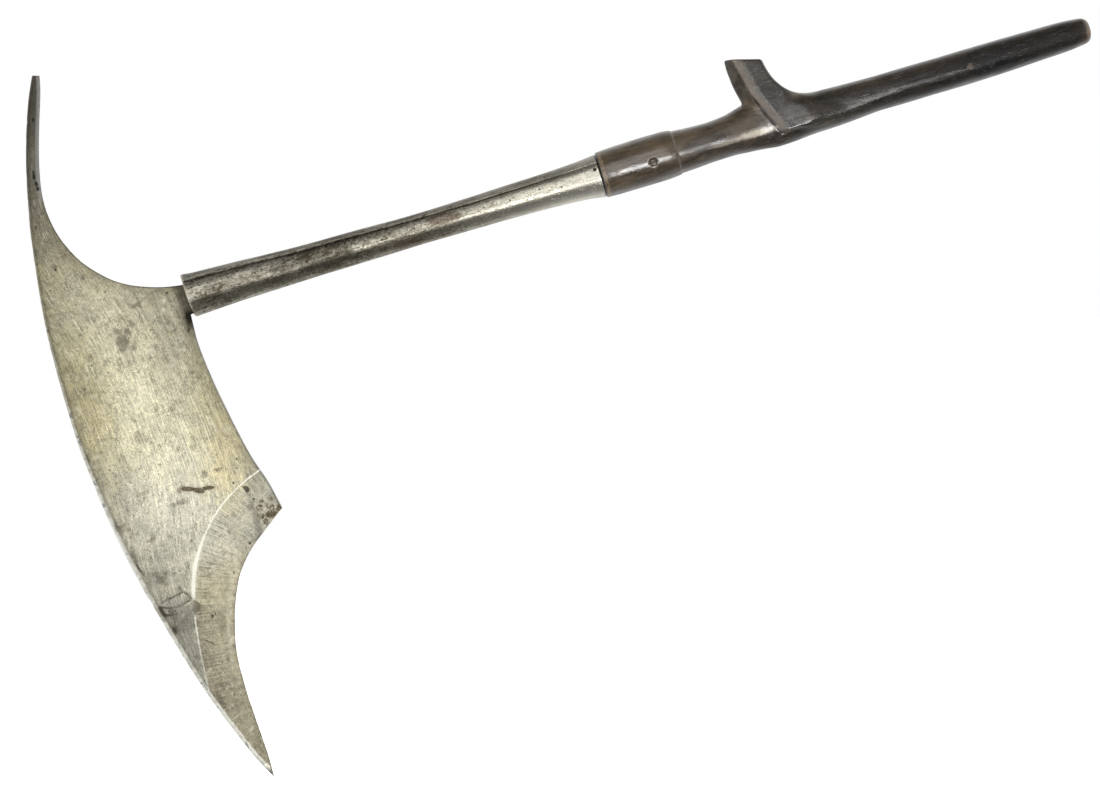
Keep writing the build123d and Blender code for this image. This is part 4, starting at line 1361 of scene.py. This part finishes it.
    keel_face = attr("keelface")
    rough = (0.19 + blotches.swing(0.22) + fine.swing(0.20) + hollow_dark * 0.3 + rim * 0.2
             + dull * 0.16 + keel_face * 0.30)
    height = (grain * 1.0 + fine * 0.6 - pores * 0.8 + noise(pos, 1 / 1.4, 3, 0.6) * 0.35
              - scratches * 0.5)
    scuffs = noise(pos, 1.0, 5, 0.66, 0.4, stretch=(0.07, 0.22, 0.22), shift=(6, 1, 7))
    coat = scuffs.line(0.40, 0.62, 0.12, 0.85) * (1.0 - dull * 0.7) * (1.0 - keel_face * 0.92)
    return mat.finish(rough, 0.0, height, strength=0.5, depth=0.00025, IOR=1.55,
                      Specular_IOR_Level=0.62 - keel_face * 0.42,
                      Coat_Weight=coat, Coat_Roughness=0.12)


# ----------------------------------------------------------------------------- peg and nail
# radius, y from the near end to the far one
PEG = [(1.9, -19.0), (2.5, -18.85), (2.78, -18.4), (2.84, -17.4), (2.8, -8), (2.8, 8),
       (2.8, 17.6), (2.6, 18.6), (1.7, 19.0)]
NAIL = [(0.5, -16.75), (1.1, -16.6), (1.45, -16.2), (1.5, -15.7), (1.05, -15.3), (1.0, -10.0),
        (0.7, -5.0)]


def build_pin(name, centre_x, centre_z, profile, seed, sides, lump):
    """A round piece along Y, slightly lumpy, closed by a fan at each end."""
    angles = np.linspace(0, 2 * math.pi, sides, endpoint=False)
    points = np.vstack([np.column_stack([centre_x + radius * np.cos(angles),
                                         np.full(sides, float(y)),
                                         centre_z + radius * np.sin(angles)])
                        for radius, y in profile])
    swell = lumps(points, 1.6, octaves=3, seed=seed)
    outward = points - np.array([centre_x, 0, centre_z])
    outward[:, 1] = 0
    radius = np.maximum(np.linalg.norm(outward, axis=1), 1e-6)
    points = points + outward / radius[:, None] * (lump * swell * np.minimum(1, radius))[:, None]
    widest = max(row[0] for row in profile)
    ripple = lumps(points, 1.3, octaves=2, seed=seed + 5)
    points[:, 1] += lump * 0.8 * ripple * (radius < widest * 0.98)
    faces = []
    for k in range(len(profile) - 1):
        for j in range(sides):
            a = k * sides + j
            b = k * sides + (j + 1) % sides
            faces.append((a + sides, b + sides, b, a))
    near = len(points)
    last = near - sides
    points = np.vstack([points, [[centre_x, profile[0][1], centre_z]],
                        [[centre_x, profile[-1][1], centre_z]]])
    for j in range(sides):
        following = (j + 1) % sides
        faces.append((j, following, near))
        faces.append((last + following, last + j, near + 1))
    return add_mesh(name, points, faces, sharp_degrees=45)


def peg_material():
    mat = Material("peg_wood_endgrain")
    pos = mat.position
    grain = mat.noise(pos, 1.1, 4, 0.65, stretch=(1.0, 0.3, 1.0))
    fine = mat.noise(pos, 3.0, 3, 0.6)
    centred = mat.stretch(pos, (1, 0.1, 1), (-(PEG_X + X0), 0, -PEG_Z))
    rings = mat.value("TexWave", "Fac", {"Vector": centred, "Scale": 0.32, "Distortion": 2.5},
                      wave_type="RINGS")
    mat.colour = mat.ramp(grain * 0.7 + rings * 0.3, [
        (0.30, srgb(40, 32, 26)), (0.5, srgb(78, 65, 54)), (0.72, srgb(110, 94, 78))])
    return mat.finish(0.26 + fine.swing(0.2), 0.0, grain + fine * 0.5, strength=0.4,
                      depth=0.00015, Coat_Weight=0.4, Coat_Roughness=0.15)


def nail_material():
    mat = Material("nail_iron_dark")
    coarse = mat.noise(mat.position, 1.4, 4, 0.7)
    fine = mat.noise(mat.position, 4.0, 3, 0.6)
    mat.colour = mat.ramp(coarse, [
        (0.3, srgb(30, 24, 18)), (0.55, srgb(66, 54, 42)), (0.75, srgb(110, 96, 78))])
    return mat.finish(0.45 + fine * 0.3, 0.7, coarse + fine, strength=0.6, depth=0.0002)


def core_material():
    mat = Material("core_wood_raw")
    pos = mat.position
    bend = mat.noise(pos, 1.0, 2, 0.5, stretch=(0.03, 0.1, 0.1), out="Color")
    bent = mat.warp(pos, bend, 5.0)
    grain = mat.noise(bent, 1.0, 4, 0.65, stretch=(0.05, 0.9, 0.9))
    fine = mat.noise(bent, 1.0, 3, 0.6, stretch=(0.2, 3.0, 3.0))
    mat.colour = mat.ramp(grain * 0.7 + fine * 0.3, [
        (0.3, srgb(40, 30, 22)), (0.5, srgb(78, 60, 44)), (0.7, srgb(112, 90, 66))])
    return mat.finish(0.5 + fine.swing(0.3), 0.0, grain + fine, strength=0.5, depth=0.0002)


# ----------------------------------------------------------------------------- build the pieces
def hand_over(piece, material, replaces):
    piece.data.materials.append(material)
    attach(piece, "root")
    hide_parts(replaces)


hand_over(build_blade(), blade_material(), "blade")
hand_over(build_tube(), tube_material(), "socket_tube")
hand_over(build_handle(), handle_material(), "handle")
hand_over(build_pin("peg_plug", PEG_X, PEG_Z, PEG, seed=91, sides=72, lump=0.12),
          peg_material(), "collar_peg")
hand_over(build_pin("nail_head", 339.4, 4.2, NAIL, seed=93, sides=40, lump=0.10),
          nail_material(), "socket_nail")

# the CAD tenon stays as it is; it may come with or without material slots
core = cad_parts["tenon_core"]
core_wood = core_material()
if core.material_slots:
    for material_slot in core.material_slots:
        material_slot.material = core_wood
else:
    core.data.materials.append(core_wood)


# ----------------------------------------------------------------------------- studio
# Surrounding light in the plane square to the haft: degrees of elevation, brightness.
# 0 is towards the camera, 90 straight up, -90 straight down, 180 behind.
SKY_BANDS = [
    (-180, 0.50), (-162, 0.58), (-148, 0.90), (-130, 0.98), (-114, 0.82), (-98, 0.52),
    (-82, 0.24), (-56, 0.14), (-40, 0.20), (-24, 0.25), (-8, 0.28), (12, 0.28), (30, 0.26),
    (46, 0.19), (58, 0.14), (74, 0.10), (90, 0.17), (104, 0.42), (120, 0.82), (140, 1.0),
    (156, 0.74), (180, 0.50)]
FLOOR_HALF = 6.0        # metres
FLOOR_CELLS = 24
FLOOR_DROP = 0.0018     # metres below the blade's point


def build_world():
    """Banded light for the pieces, plain white for the camera."""
    world = bpy.data.worlds.new("studio")
    scene.world = world
    world.use_nodes = True
    sky = Graph(world.node_tree)
    output = sky.node("OutputWorld")
    x, y, z = sky.xyz(sky.value("TexCoord", "Generated", {}))
    elevation = sky.math("ARCTAN2", z, y * -1.0) * 57.29578
    bands = sky.ramp((elevation + 180.0) * (1 / 360.0),
                     [((degrees + 180) / 360.0, (bright * 0.5,) * 3)
                      for degrees, bright in SKY_BANDS])
    # both ends of the haft look into white as well
    colour = sky.mix(abs(x).ease(0.42, 0.80), bands, (0.5, 0.5, 0.5))
    lighting = sky.value("Background", 0, {0: colour, 1: 2.0})
    backdrop = sky.value("Background", 0, {0: (1, 1, 1, 1), 1: 1.0})
    seen = sky.value("LightPath", "Is Camera Ray", {})
    sky.put(output, 0, sky.value("MixShader", 0, {0: seen, 1: lighting, 2: backdrop}))


def build_floor():
    """Pale floor just under the blade's point."""
    mesh = bpy.data.meshes.new("floor")
    row = FLOOR_CELLS + 1
    places = [-FLOOR_HALF + 2 * FLOOR_HALF * k / FLOOR_CELLS for k in range(row)]
    points = [(x, y, BLADE_BOTTOM - FLOOR_DROP) for y in places for x in places]
    faces = [(j * row + i, j * row + i + 1, (j + 1) * row + i + 1, (j + 1) * row + i)
             for j in range(FLOOR_CELLS) for i in range(FLOOR_CELLS)]
    mesh.from_pydata(points, [], faces)
    floor = bpy.data.objects.new("floor", mesh)
    scene.collection.objects.link(floor)
    mat = Material("floor_pale")
    mat.colour = mat.mix(mat.noise(mat.position, 1 / 90, 3, 0.5),
                         (0.90, 0.90, 0.90), (0.93, 0.93, 0.925))
    mesh.materials.append(mat.finish(0.9, 0.0, Emission_Color=(1, 1, 1, 1),
                                     Emission_Strength=0.95))
    floor.visible_glossy = False
    floor.visible_diffuse = False


def build_panel(name, place, target, width, height, radiance):
    """A soft box of even radiance, unseen by the camera."""
    light = bpy.data.lights.new(name, "AREA")
    light.energy = radiance * math.pi * width * height
    light.size = width
    light.shape = "RECTANGLE"
    light.size_y = height
    panel = bpy.data.objects.new(name, light)
    panel.location = place
    aim = Vector(target) - Vector(place)
    panel.rotation_euler = aim.to_track_quat("-Z", "Y").to_euler()
    scene.collection.objects.link(panel)
    panel.visible_camera = False


def build_camera():
    """Long lens looking along +Y, turned so that the haft climbs to the right."""
    lens = bpy.data.cameras.new("camera")
    lens.lens = 100.0
    lens.sensor_width = 36.0
    lens.clip_end = 50.0
    camera = bpy.data.objects.new("camera", lens)
    scene.collection.objects.link(camera)
    axes = [(VIEW_RIGHT[0], 0.0, VIEW_RIGHT[1]), (VIEW_UP[0], 0.0, VIEW_UP[1]), (0.0, -1.0, 0.0)]
    placing = Matrix(axes).transposed().to_4x4()
    # metres; across, 352.5 mm short of station 607.5
    placing.translation = Vector((-0.3525 + (X0 + 607.5) * MM, -2.444, -0.1563))
    camera.matrix_world = placing
    scene.camera = camera


scene = bpy.context.scene
scene.view_settings.view_transform = "Standard"
scene.view_settings.look = "None"
scene.view_settings.exposure = 0.0
scene.view_settings.gamma = 1.0

build_world()
build_floor()
build_panel("box_handle", place=(-0.14, -1.0, -0.305), target=(-0.2, 0, 0),
            width=0.38, height=0.24, radiance=15.0)
build_panel("box_handle_high", place=(-0.215, -1.0, 0.30), target=(-0.2, 0, 0),
            width=0.33, height=0.66, radiance=1.8)
build_panel("box_plate", place=(-0.79, -1.0, -0.12), target=(-0.66, 0, -0.1),
            width=0.60, height=0.8, radiance=1.35)
build_panel("box_tube", place=(-0.68, -1.0, 0.60), target=(-0.56, 0, 0),
            width=0.26, height=0.24, radiance=4.5)
build_camera()
